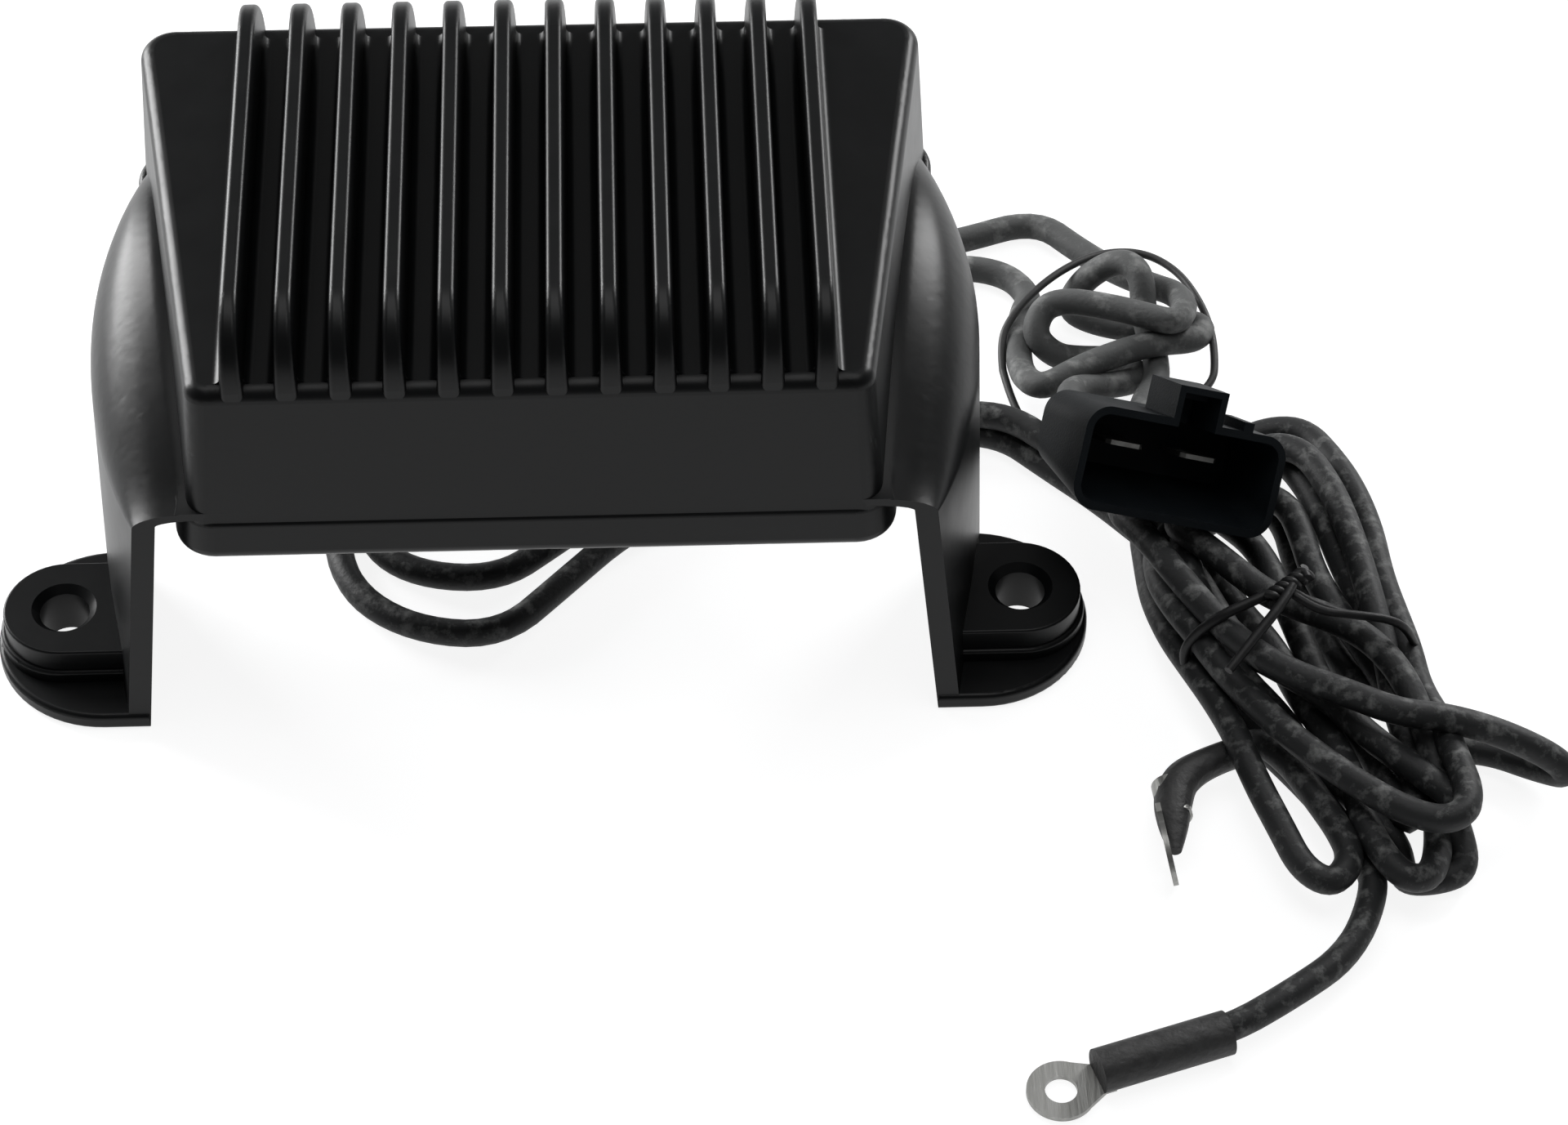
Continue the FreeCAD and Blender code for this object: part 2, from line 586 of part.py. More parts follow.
def tube(points, radius, name):
    """A lead of straight runs joined by tangent arcs, through points chosen by hand.

    Each arc is as large as its two runs allow. The volume is compared with section times length.
    """
    line = [vector(p) for p in points]
    edges = []
    at = line[0]
    radii = []
    for before, corner, after in zip(line, line[1:], line[2:]):
        back = before - corner
        ahead = after - corner
        turn = math.pi - back.getAngle(ahead)
        reach = 0.45 * min(back.Length, ahead.Length)
        bend = reach / math.tan(turn / 2)
        radii.append(round(bend, 1))
        start = corner + back.normalize() * reach
        end = corner + ahead.normalize() * reach
        inward = ((start - corner) + (end - corner)).normalize()
        gap = bend / math.cos(turn / 2) - bend
        edges.append(Part.LineSegment(at, start).toShape())
        edges.append(Part.Arc(start, corner + inward * gap, end).toShape())
        at = end
    edges.append(Part.LineSegment(at, line[-1]).toShape())
    path = Part.Wire(edges)
    direction = (line[1] - line[0]).normalize()
    ring = Part.Wire(Part.Circle(line[0], direction, radius).toShape())
    solid = path.makePipeShell([ring], True, False)
    expected = math.pi * radius ** 2 * path.Length
    print(f"{name}: length {path.Length:.0f} volume ratio {solid.Volume / expected:.4f}"
          f" least radius {min(radii) if radii else 0} radii {radii}")
    return solid


def lead_exit(x):
    """The first two points of a lead: at its tab, and below the potting."""
    return [(x, TAB_Y, stack()["tab"]), (x, TAB_Y, 30.0)]


def make_coil():
    """The small coil's outer shape: a thick ring with rounded edges."""
    x, y = COIL_CENTRE
    ring = Part.makeCylinder(COIL_R, COIL_HEIGHT, V(x, y, 0))
    ring = ring.makeFillet(COIL_EDGE_R, edges_at(ring, COIL_HEIGHT))
    return ring.cut(Part.makeCylinder(COIL_HOLE_R, COIL_HEIGHT, V(x, y, 0)))


def hank_block(grow=0.0):
    """The hank's outer shape without its loose loop: a flat bundle with rounded upper edges."""
    outline = rounded_wire([(V(x, y, 0), r) for x, y, r in HANK_OUTLINE])
    face = Part.Face(outline)
    if grow:
        face = face.makeOffset2D(grow)
    block = face.extrude(V(0, 0, HANK_HEIGHT + grow))
    return block.makeFillet(HANK_EDGE_R + grow, edges_at(block, HANK_HEIGHT + grow))


def make_loose_loop():
    """The one long fold that stands out of the hank's side."""
    start, tip = vector(LOOP_START), vector(LOOP_TIP)
    along = tip - start
    length = along.Length
    half = LOOP_WIDTH / 2
    outline = rounded_wire([(V(0, -half, 0), 0), (V(length, -half, 0), half * 0.9),
                            (V(length, half, 0), half * 0.9), (V(0, half, 0), 0)])
    fold = prism(outline, V(0, 0, LOOP_HEIGHT))
    upper = [e for e in edges_at(fold, LOOP_HEIGHT) if e.BoundBox.XMax > 0.1]
    fold = fold.makeFillet(half * 0.7, upper)
    fold.rotate(V(0, 0, 0), V(0, 0, 1), math.degrees(math.atan2(along.y, along.x)))
    fold.translate(start)
    return fold


def make_hank():
    """The hank with its loose loop, and the tie that runs right round its waist."""
    block = hank_block()
    slab = box(0, FAR, TIE_Y[0], TIE_Y[1], -1, FAR)
    inner = block.common(box(0, FAR, -FAR, FAR, TIE_THICKNESS, FAR))
    tie = hank_block(TIE_THICKNESS).common(slab).cut(inner)
    middle = (HANK_OUTLINE[2][0] + HANK_OUTLINE[7][0]) / 2
    twist = Part.makeCone(*TWIST, V(middle + 3, TIE_Y[1] - 1.2, HANK_HEIGHT + 0.6),
                          V(0.2, 0.5, 0.7))
    rest = box(-SHELL[0] / 2 - 2, SHELL[0] / 2 + 2, -4, SHELL_LENGTH + CORE_LENGTH + 12,
               -SHELL[1] / 2 - 0.2, SHELL[1])
    hank = block.fuse(make_loose_loop()).cut([tie, connector_place(rest)])
    tie = tie.fuse(twist.cut(hank))
    return hank.removeSplitter(), tie


def make_band():
    """The thin band round the small coil."""
    x, y = COIL_CENTRE
    return Part.makeTorus(COIL_R + BAND_R, BAND_R, V(x, y, BAND_Z))


def connector_place(shape):
    """Moves a shape from the connector's own axes to its place."""
    turn = FreeCAD.Rotation(V(0, 0, 1), CONNECTOR_YAW)
    turn = turn.multiply(FreeCAD.Rotation(V(1, 0, 0), CONNECTOR_TILT))
    turn = turn.multiply(FreeCAD.Rotation(V(0, 1, 0), CONNECTOR_ROLL))
    placed = shape.copy()
    placed.Placement = FreeCAD.Placement(vector(MOUTH_CENTRE), turn).multiply(placed.Placement)
    return placed


def connector_point(x, y, z):
    """A point of the connector's own axes, in the part's frame."""
    turn = FreeCAD.Rotation(V(0, 0, 1), CONNECTOR_YAW)
    turn = turn.multiply(FreeCAD.Rotation(V(1, 0, 0), CONNECTOR_TILT))
    turn = turn.multiply(FreeCAD.Rotation(V(0, 1, 0), CONNECTOR_ROLL))
    return FreeCAD.Placement(vector(MOUTH_CENTRE), turn).multVec(V(x, y, z))


def make_socket():
    """The connector's hollow, drafted so that its end is stepped in on the right and below."""
    width, height = SHELL[0] - 2 * SHELL_WALL, SHELL[1] - 2 * SHELL_WALL
    radius = SHELL_CORNER_R - SHELL_WALL
    mouth = rounded_rectangle(width, height, radius, "XZ")
    step_x, step_z = SOCKET_END_STEP
    end = rounded_rectangle(width - step_x, height - step_z, radius, "XZ", SOCKET_DEPTH)
    end.translate(V(-step_x / 2, 0, step_z / 2))
    return Part.makeLoft([mouth, end], True, True)


def make_connector():
    """The connector's pieces in its own axes, mouth at y = 0, by node name."""
    core_back = SHELL_LENGTH + CORE_LENGTH
    seal_back = core_back - RETAINER[2]
    mouth = rounded_rectangle(SHELL[0], SHELL[1], SHELL_CORNER_R, "XZ")
    shell_end = rounded_rectangle(SHELL[0], SHELL[1] - SHELL_RISE, SHELL_CORNER_R, "XZ", SHELL_LENGTH)
    shell_end.translate(V(0, 0, SHELL_RISE / 2))
    shell = Part.makeLoft([mouth, shell_end], True, True)
    core_start = rounded_rectangle(CORE[0], CORE[1], CORE_CORNER_R, "XZ", SHELL_LENGTH - SHELL_WALL)
    core_start.translate(V(0, 0, BLADE_Z))
    core = prism(core_start, V(0, CORE_LENGTH + SHELL_WALL, 0))
    channel_top = SHELL[1] / 2 + CHANNEL[1]
    channel = box(CHANNEL_X - CHANNEL[0] / 2, CHANNEL_X + CHANNEL[0] / 2, 0, CHANNEL_LENGTH,
                  SHELL[1] / 2 - SHELL_WALL, channel_top)
    rib = box(GUIDE_RIB_X - GUIDE_RIB[0] / 2, GUIDE_RIB_X + GUIDE_RIB[0] / 2, 0, GUIDE_RIB[2],
              SHELL[1] / 2 - SHELL_WALL / 2, SHELL[1] / 2 + GUIDE_RIB[1])
    body = shell.fuse([core, channel, rib])
    socket = make_socket()
    tunnel = box(CHANNEL_X - CHANNEL[0] / 2 + CHANNEL_WALL, CHANNEL_X + CHANNEL[0] / 2
                 - CHANNEL_WALL, 0, CHANNEL_LENGTH - CHANNEL_WALL, 0,
                 channel_top - CHANNEL_WALL)
    body = body.cut([socket, tunnel])
    plate = rounded_rectangle(RETAINER[0], RETAINER[1], RETAINER_CORNER_R, "XZ", seal_back)
    plate.translate(V(0, 0, BLADE_Z))
    body = body.cut(prism(plate, V(0, RETAINER[2] + 1, 0)))
    retainer = prism(plate, V(0, RETAINER[2], 0))
    pieces = {}
    for name, x in zip(("a", "b"), BLADE_X):
        axis = V(0, 1, 0)
        seal_hole = Part.makeCylinder(SEAL_R, SEAL_LENGTH, V(x, seal_back - SEAL_LENGTH, BLADE_Z),
                                      axis)
        lead_hole = Part.makeCylinder(LEAD_R, RETAINER[2] + SEAL_LENGTH,
                                      V(x, seal_back - SEAL_LENGTH, BLADE_Z), axis)
        body = body.cut(seal_hole)
        pieces["wire_seal_" + name] = seal_hole.cut(lead_hole)
        retainer = retainer.cut(lead_hole)
        blade = box(x - BLADE_WIDTH / 2, x + BLADE_WIDTH / 2, BLADE_TIP,
                    seal_back - SEAL_LENGTH, BLADE_Z - BLADE_THICKNESS / 2,
                    BLADE_Z + BLADE_THICKNESS / 2)
        tip = [e for e in blade.Edges if abs(e.BoundBox.YMax - BLADE_TIP) < 0.01
               and e.Length < 1]
        blade = blade.makeChamfer(0.9, tip)
        body = body.cut(blade)
        pieces["blade_terminal_" + name] = blade
    lock_top = channel_top - CHANNEL_WALL
    lock_back = CHANNEL_LENGTH - CHANNEL_WALL
    lock_half = LOCK[0] / 2
    lock = box(CHANNEL_X - lock_half, CHANNEL_X + lock_half, lock_back - LOCK[2], lock_back,
               lock_top - LOCK[1], lock_top)
    lock = lock.fuse(box(CHANNEL_X - lock_half, CHANNEL_X + lock_half, lock_back - LOCK[1],
                         lock_back, SHELL[1] / 2 - SHELL_WALL, lock_top))
    pieces["connector_lock"] = lock.removeSplitter()
    pieces["seal_retainer"] = retainer
    pieces["connector_shell"] = body.removeSplitter()
    return {name: connector_place(shape) for name, shape in pieces.items()}


def make_ring_terminal():
    """A ring terminal along +X from its hole, with its tongue's lower face at z = 0."""
    disc = Part.makeCylinder(RING_R, RING_THICKNESS, V(0, 0, 0))
    half = BARREL_R * 0.95
    neck = prism(Part.makePolygon([V(2, -RING_R * 0.94, 0), V(RING_REACH, -half, 0),
                                   V(RING_REACH + 2, -half, 0), V(RING_REACH + 2, half, 0),
                                   V(RING_REACH, half, 0), V(2, RING_R * 0.94, 0),
                                   V(2, -RING_R * 0.94, 0)]), V(0, 0, RING_THICKNESS))
    axis = V(1, 0, 0)
    barrel = Part.makeCylinder(BARREL_R, BARREL_LENGTH, V(RING_REACH, 0, BARREL_R), axis)
    bore = Part.makeCylinder(LEAD_R, BARREL_LENGTH - 2, V(RING_REACH + 2, 0, BARREL_R), axis)
    hole = Part.makeCylinder(RING_HOLE_R, RING_THICKNESS, V(0, 0, 0))
    return disc.fuse([neck, barrel]).cut([hole, bore]).removeSplitter()


def ring_placement(origin, axis, normal):
    """The placement whose X is the terminal's axis and whose Z is its tongue's normal."""
    along, up = vector(axis).normalize(), vector(normal).normalize()
    return FreeCAD.Placement(vector(origin), FreeCAD.Rotation(along, up.cross(along), up, "ZXY"))


def make_ends():
    """The ring terminals, their shrink sleeves and the leads from the hank to them."""
    turn = math.radians(GROUND_RING_TURN)
    spots = {
        "battery": ring_placement(BATTERY_RING, BATTERY_RING_AXIS, BATTERY_RING_NORMAL),
        "ground": ring_placement(GROUND_RING, (math.cos(turn), math.sin(turn), 0), (0, 0, 1)),
    }
    pieces = {}
    for name, straight, route in (("battery", BATTERY_STRAIGHT, BATTERY_END),
                                  ("ground", GROUND_STRAIGHT, GROUND_END)):
        place = spots[name]
        terminal = make_ring_terminal()
        terminal.Placement = place.multiply(terminal.Placement)
        start = place.multVec(V(RING_REACH + 2, 0, BARREL_R))
        corner = place.multVec(V(RING_REACH + 2 + straight, 0, BARREL_R))
        end = tube([start, corner] + route, LEAD_R, name + "_lead_end")
        if name == "battery":
            sleeve = tube([start, corner, corner * 0.5 + vector(route[0]) * 0.5],
                          BATTERY_SHRINK_R, "battery_shrink")
        else:
            sleeve = Part.makeCylinder(SHRINK_R, SHRINK_LENGTH,
                                       V(RING_REACH + SHRINK_START, 0, BARREL_R), V(1, 0, 0))
            sleeve.Placement = place.multiply(sleeve.Placement)
        pieces[name + "_ring_terminal"] = terminal
        pieces[name + "_shrink"] = sleeve.cut([terminal, end])
        pieces[name + "_lead_end"] = end
    return pieces


def build():
    """Every node of the part, by name."""
    nodes = {"housing": make_housing()}
    inside = make_inside()
    coil = make_coil()
    hank, tie = make_hank()
    leads = {}
    for name, x, route, ends_in in (
            ("battery_lead", BATTERY_X, BATTERY_ROUTE, hank),
            ("ground_lead", GROUND_X, GROUND_ROUTE, hank),
            ("stator_lead_a", STATOR_A_X, STATOR_A_ROUTE, coil),
            ("stator_lead_b", STATOR_B_X, STATOR_B_ROUTE, coil)):
        leads[name] = tube(lead_exit(x) + route, LEAD_R, name).cut(ends_in)
    connector = make_connector()
    for name, x, end in zip(("stator_tail_a", "stator_tail_b"), BLADE_X, TAIL_ENDS):
        seal_front = SHELL_LENGTH + CORE_LENGTH - RETAINER[2] - SEAL_LENGTH
        back = SHELL_LENGTH + CORE_LENGTH + 6
        leads[name] = tube([connector_point(x, seal_front, BLADE_Z),
                            connector_point(x, back, BLADE_Z), end], LEAD_R, name).cut(coil)
    potting = make_cavity().cut(box(-FAR, FAR, -FAR, FAR, 0, RIM_BOTTOM + POTTING_RECESS))
    nodes["potting_compound"] = potting.cut(list(inside.values()) + list(leads.values()))
    nodes.update(inside)
    nodes.update(leads)
    nodes["lead_coil"] = coil
    nodes["coil_band"] = make_band()
    nodes["lead_hank"] = hank
    nodes["hank_tie"] = tie
    nodes.update(connector)
    ends = make_ends()
    for name in ("battery_lead_end", "ground_lead_end"):
        ends[name] = ends[name].cut(hank)
    nodes.update(ends)
    return nodes


def main():
    """Writes one STEP file for each node, with the origin under the middle of the housing."""
    os.makedirs("parts", exist_ok=True)
    nodes = build()
    depths = [vertex.Y for vertex in nodes["housing"].Vertexes]
    middle = (min(depths) + max(depths)) / 2
    print(f"origin: the housing's middle, Y = {middle:.4f}")
    for name, shape in nodes.items():
        shape.translate(V(0, -middle, 0))
        shape.exportStep(os.path.join("parts", name + ".step"))


if __name__ == "__main__":
    main()
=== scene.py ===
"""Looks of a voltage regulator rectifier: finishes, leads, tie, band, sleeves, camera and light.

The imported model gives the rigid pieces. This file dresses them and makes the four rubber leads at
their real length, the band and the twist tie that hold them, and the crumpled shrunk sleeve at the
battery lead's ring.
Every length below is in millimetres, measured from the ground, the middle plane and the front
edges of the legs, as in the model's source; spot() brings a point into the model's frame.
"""
from __future__ import annotations

import json
import logging
import math
from dataclasses import dataclass
from enum import Enum

import bpy
import numpy as np
from mathutils import Matrix, Vector

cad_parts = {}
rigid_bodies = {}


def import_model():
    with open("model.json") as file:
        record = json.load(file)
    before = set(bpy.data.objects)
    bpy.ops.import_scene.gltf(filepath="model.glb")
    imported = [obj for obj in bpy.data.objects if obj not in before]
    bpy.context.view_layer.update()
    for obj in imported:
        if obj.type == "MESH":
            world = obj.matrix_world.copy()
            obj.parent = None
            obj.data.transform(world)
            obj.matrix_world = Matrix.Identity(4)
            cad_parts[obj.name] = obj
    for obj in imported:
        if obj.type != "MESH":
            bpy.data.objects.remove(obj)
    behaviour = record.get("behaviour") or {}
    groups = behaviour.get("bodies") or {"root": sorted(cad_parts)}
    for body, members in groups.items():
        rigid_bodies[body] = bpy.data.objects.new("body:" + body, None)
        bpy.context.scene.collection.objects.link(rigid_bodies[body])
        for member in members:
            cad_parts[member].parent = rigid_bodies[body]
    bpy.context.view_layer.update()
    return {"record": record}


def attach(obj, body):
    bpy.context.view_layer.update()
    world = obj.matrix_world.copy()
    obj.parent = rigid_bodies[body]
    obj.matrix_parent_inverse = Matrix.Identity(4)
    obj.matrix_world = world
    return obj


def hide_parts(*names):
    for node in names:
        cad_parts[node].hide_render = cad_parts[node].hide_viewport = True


MM = 0.001
LEG_FRONT = -50.7
LOG = logging.getLogger("rectifier")

LEAD_RADIUS = 2.7

# Keeps a division from meeting zero, and a sample from passing a curve's end
TINY = 1e-9

Triple = tuple[float, float, float]


def spot(x: float, y: float, z: float) -> Vector:
    """Brings a point from the source's millimetres into the frame's metres.

    Args:
        x: Across, to the right of the middle.
        y: Back from the front edges of the legs.
        z: Up from the ground.

    Returns:
        The point in the model's frame.
    """
    return Vector((x, y + LEG_FRONT, z)) * MM


def linear(hex_colour: str) -> tuple[float, float, float, float]:
    """Turns an sRGB hex colour into linear values.

    Args:
        hex_colour: Six hex digits after a hash.

    Returns:
        Red, green, blue and an alpha of one, in linear light.
    """
    values = []
    for start in (1, 3, 5):
        share = int(hex_colour[start:start + 2], 16) / 255
        values.append(share / 12.92 if share <= 0.04045 else ((share + 0.055) / 1.055) ** 2.4)
    return (values[0], values[1], values[2], 1.0)


def add_node(
    material: bpy.types.Material | bpy.types.World,
    kind: str,
    settings: dict[str | int, object] | None = None,
    links: dict[str | int, bpy.types.NodeSocket] | None = None,
) -> bpy.types.Node:
    """Adds one shader node with its settings and links.

    Args:
        material: The material or world that the node goes into.
        kind: The node's type name.
        settings: Values by the socket's name or number, or by the attribute's name.
        links: Output sockets by the name or number of the input that each one feeds.

    Returns:
        The new node.
    """
    node = material.node_tree.nodes.new(kind)
    for name, value in (settings or {}).items():
        if isinstance(name, int) or name in node.inputs:
            node.inputs[name].default_value = value
        else:
            setattr(node, name, value)
    for name, source in (links or {}).items():
        material.node_tree.links.new(source, node.inputs[name])
    return node


# Brush lines are long in y; dust lies in separate patches, other marks run into each other
BRUSH_STRETCH = (1.0, 0.08, 1.0)
DUST_EDGE = (0.52, 0.72)
MARK_EDGE = (0.3, 0.75)
# The height of the relief at full strength, in metres
RELIEF_DEPTH = 0.0004


class Pattern(Enum):
    """How a surface was made. Brushing stretches its marks, and dust sets them apart."""

    MOULDED = "moulded"
    COATED = "coated"
    DUSTY = "dusty"
    BRUSHED = "brushed"
    WRINKLED = "wrinkled"
    WOVEN = "woven"


@dataclass(frozen=True)
class Finish:
    """One finish: its colours, gloss and marks, with the size of the marks in millimetres.

    Marks that are too fine to show in a render of the whole object are drawn as coarse as they
    need to be, with the same form.

    Attributes:
        name: The material's name.
        pattern: How the surface was made.
        colour: Main colour.
        other: Colour of the marks.
        amount: Share of the other colour where the marks are strongest.
        mark_mm: Size of the colour marks.
        roughness: Least and greatest roughness.
        relief_mm: Size of the relief's bumps.
        relief: Strength of the relief.
        metallic: One on bare metal.
        coat: Weight of a clear layer.
        specular: Strength of the mirror-like part, 0.5 being plain plastic.
    """

    name: str
    pattern: Pattern
    colour: str
    other: str
    amount: float
    mark_mm: float
    roughness: tuple[float, float]
    relief_mm: float
    relief: float
    metallic: float = 0.0
    coat: float = 0.0
    specular: float = 0.5

    def make(self) -> bpy.types.Material:
        """Builds the material's nodes.

        Returns:
            The finished material.
        """
        material = bpy.data.materials.new(self.name)
        material.use_nodes = True
        material.node_tree.nodes.clear()
        place = add_node(material, "ShaderNodeTexCoord").outputs["Object"]
        scale = BRUSH_STRETCH if self.pattern is Pattern.BRUSHED else (1.0, 1.0, 1.0)
        mapped = add_node(material, "ShaderNodeMapping", {"Scale": scale}, {"Vector": place})
        point = mapped.outputs["Vector"]
        marks = add_node(
            material,
            "ShaderNodeTexNoise",
            {"Scale": 1000 / self.mark_mm, "Detail": 5.0, "Roughness": 0.6},
            {"Vector": point},
        )
        edge = DUST_EDGE if self.pattern is Pattern.DUSTY else MARK_EDGE
        share = add_node(
            material,
            "ShaderNodeMapRange",
            {"From Min": edge[0], "From Max": edge[1], "To Min": 0.0, "To Max": self.amount},
            {"Value": marks.outputs["Fac"]},
        )
        colour = add_node(
            material,
            "ShaderNodeMix",
            {"data_type": "RGBA", 6: linear(self.colour), 7: linear(self.other)},
            {"Factor": share.outputs["Result"]},
        )
        gloss = add_node(
            material,
            "ShaderNodeMapRange",
            {"To Min": self.roughness[0], "To Max": self.roughness[1]},
            {"Value": marks.outputs["Fac"]},
        )
        relief = add_node(
            material,
            "ShaderNodeTexNoise",
            {"Scale": 1000 / self.relief_mm, "Detail": 3.0, "Roughness": 0.55},
            {"Vector": point},
        )
        bump = add_node(
            material,
            "ShaderNodeBump",
            {"Strength": self.relief, "Distance": RELIEF_DEPTH},
            {"Height": relief.outputs["Fac"]},
        )
        shader = add_node(
            material,
            "ShaderNodeBsdfPrincipled",
            {
                "Metallic": self.metallic,
                "Coat Weight": self.coat,
                "Coat Roughness": 0.2,
                "Specular IOR Level": self.specular,
            },
            {
                "Base Color": colour.outputs[2],
                "Roughness": gloss.outputs["Result"],
                "Normal": bump.outputs["Normal"],
            },
        )
        add_node(
            material, "ShaderNodeOutputMaterial", links={"Surface": shader.outputs["BSDF"]}
        )
        return material


class Surface(Enum):
    """The finishes by the name of the record's material slot."""

    # Powder coat on a die casting: an even, half-gloss black with a fine orange peel
    coated_casting = Finish(
        "powder coated casting", Pattern.COATED, "#08090a", "#0c0d0e", 1.0, 9.0,
        (0.32, 0.4), 1.6, 0.04, specular=0.2,
    )
    # Cast epoxy: nearly glossy, slightly uneven where it set
    potting = Finish(
        "cast epoxy", Pattern.MOULDED, "#141415", "#1b1b1c", 1.0, 14.0, (0.2, 0.34), 6.0, 0.2
    )
    # Filled silicone on glass cloth: a flat pale grey with a faint weave
    silicone_pad = Finish(
        "silicone pad", Pattern.WOVEN, "#8d9195", "#9da1a4", 1.0, 1.2, (0.6, 0.7), 0.6, 0.2
    )
    # Milled aluminium: bright, with fine lines along the cut
    aluminium_plate = Finish(
        "milled aluminium", Pattern.BRUSHED, "#c9cacc", "#b4b6b8", 1.0, 0.8, (0.28, 0.42),
        0.5, 0.2, 1.0,
    )
    # Moulded epoxy of a device: charcoal with a dry, even grain
    device_case = Finish(
        "moulded epoxy", Pattern.MOULDED, "#1b1b1c", "#262627", 1.0, 2.0, (0.5, 0.62), 0.4, 0.2
    )
    # Glass laminate under green lacquer: smooth, with the weave just showing
    board_laminate = Finish(
        "glass laminate", Pattern.WOVEN, "#1d5a35", "#226a3f", 1.0, 1.0, (0.3, 0.4), 0.6, 0.1
    )
    # Bare rolled brass: warm, with fine lines along the strip
    brass = Finish(
        "bare brass", Pattern.BRUSHED, "#c5a55c", "#b0904b", 1.0, 0.8, (0.28, 0.42),
        0.5, 0.15, 1.0,
    )
    # Heat-shrunk film round a capacitor: smooth dark blue with a clear gleam
    capacitor_sleeve = Finish(
        "sleeve", Pattern.MOULDED, "#182038", "#1e2846", 1.0, 4.0, (0.22, 0.3), 1.0, 0.1
    )
    # Lacquer of a resistor: smooth tan
    resistor_body = Finish(
        "lacquer", Pattern.MOULDED, "#b99b6b", "#c9ac7d", 1.0, 2.0, (0.3, 0.4), 1.0, 0.1
    )
    # Vulcanised rubber of a lead: matt grey-black with pale dust from handling
    lead_rubber = Finish(
        "lead rubber", Pattern.DUSTY, "#1d1e1f", "#777877", 0.7, 3.2, (0.5, 0.68), 0.9, 0.25,
        specular=0.35,
    )
    # The same rubber where it lay in the dust: paler all over
    dusty_rubber = Finish(
        "dusty lead rubber", Pattern.DUSTY, "#4b4c4c", "#868786", 0.9, 6.0, (0.6, 0.75), 0.9, 0.3,
        specular=0.35,
    )
    # Moulded nylon: blue-black and slightly satin
    connector_plastic = Finish(
        "moulded nylon", Pattern.MOULDED, "#0e1215", "#13171a", 1.0, 5.0, (0.5, 0.6), 0.5, 0.15,
        specular=0.1,
    )
    # Moulded silicone seal: a soft slate blue
    seal_rubber = Finish(
        "seal rubber", Pattern.MOULDED, "#2c3a48", "#34434f", 1.0, 3.0, (0.45, 0.55), 0.8, 0.1
    )
    # Tin plate on copper: pale and softly brushed
    tinned_metal = Finish(
        "tin plate", Pattern.BRUSHED, "#a2a2a0", "#858582", 1.0, 1.5, (0.36, 0.5), 0.7, 0.25, 1.0
    )
    # Shrunk polyolefin: matt black, lightly wrinkled
    shrink_sleeve = Finish(
        "shrunk polyolefin", Pattern.WRINKLED, "#1d1d1e", "#343434", 1.0, 3.0, (0.5, 0.66), 2.4, 1.0
    )
    # Moulded rubber of the thin band: plain matt black
    band_rubber = Finish(
        "band rubber", Pattern.MOULDED, "#1b1b1c", "#262626", 1.0, 3.0, (0.5, 0.6), 0.8, 0.1
    )
    # Soft plastic over the tie's wire: black with a dull gleam
    tie_plastic = Finish(
        "tie cover", Pattern.MOULDED, "#101011", "#1a1a1b", 1.0, 3.0, (0.4, 0.55), 0.8, 0.15,
        specular=0.25,
    )


class Wardrobe:
    """Holds one material for each surface, made when it is first asked for."""

    def __init__(self) -> None:
        """Starts with no material made."""
        self._made: dict[Surface, bpy.types.Material] = {}

    def material(self, surface: Surface) -> bpy.types.Material:
        """Gives the material of a surface.

        Args:
            surface: The surface asked for.

        Returns:
            Its material, the same one each time.
        """
        if surface not in self._made:
            self._made[surface] = surface.value.make()
        return self._made[surface]

    def dress(self, piece: bpy.types.Object, surface: Surface) -> None:
        """Gives a whole object one surface.

        Args:
            piece: The object.
            surface: The surface that all of it gets.
        """
        if not piece.material_slots:
            piece.data.materials.append(None)
        for holder in piece.material_slots:
            holder.material = self.material(surface)


WARDROBE = Wardrobe()


def dress_frame(frame: dict) -> None:
    """Gives each rigid piece of the frame the finish of its material slot.
    """
    for part in frame["record"]["subparts"]:
        piece = bpy.data.objects[part["node"]]
        WARDROBE.dress(piece, Surface[part["material_slot"]])


def draw_strand(
    name: str,
    points: list[Triple] | np.ndarray,
    radius: float,
    bevel_steps: int,
    curve_steps: int,
    widths: tuple[float, ...] = (),
) -> bpy.types.Object:
    """Draws a round strand along one smooth, open path.

    Args:
        name: The object's name.
        points: Control points in millimetres.
        radius: The strand's radius in millimetres.
        bevel_steps: Steps round a quarter of the strand.
        curve_steps: Steps between two control points.
        widths: Share of the radius at each point, one everywhere where none are given.

    Returns:
        The new curve object.
    """
    curve = bpy.data.curves.new(name, "CURVE")
    curve.dimensions = "3D"
    curve.bevel_depth = radius * MM
    curve.bevel_resolution = bevel_steps
    curve.resolution_u = curve_steps
    curve.use_fill_caps = True
    spline = curve.splines.new("NURBS")
    spline.points.add(len(points) - 1)
    for index, (holder, point) in enumerate(zip(spline.points, points)):
        holder.co = (*spot(*point), 1.0)
        holder.radius = widths[index] if widths else 1.0
    spline.order_u = 3
    spline.use_endpoint_u = True
    piece = bpy.data.objects.new(name, curve)
    bpy.context.collection.objects.link(piece)
    return piece


@dataclass
class Route:
    """A lead's way as control points in millimetres, with the parts of it that don't settle.

    Attributes:
        points: Control points, from the lead's exit to its far end.
        held: How many points stay where they are at the start, and at the end.
    """

    points: list[Triple]
    held: tuple[int, int]


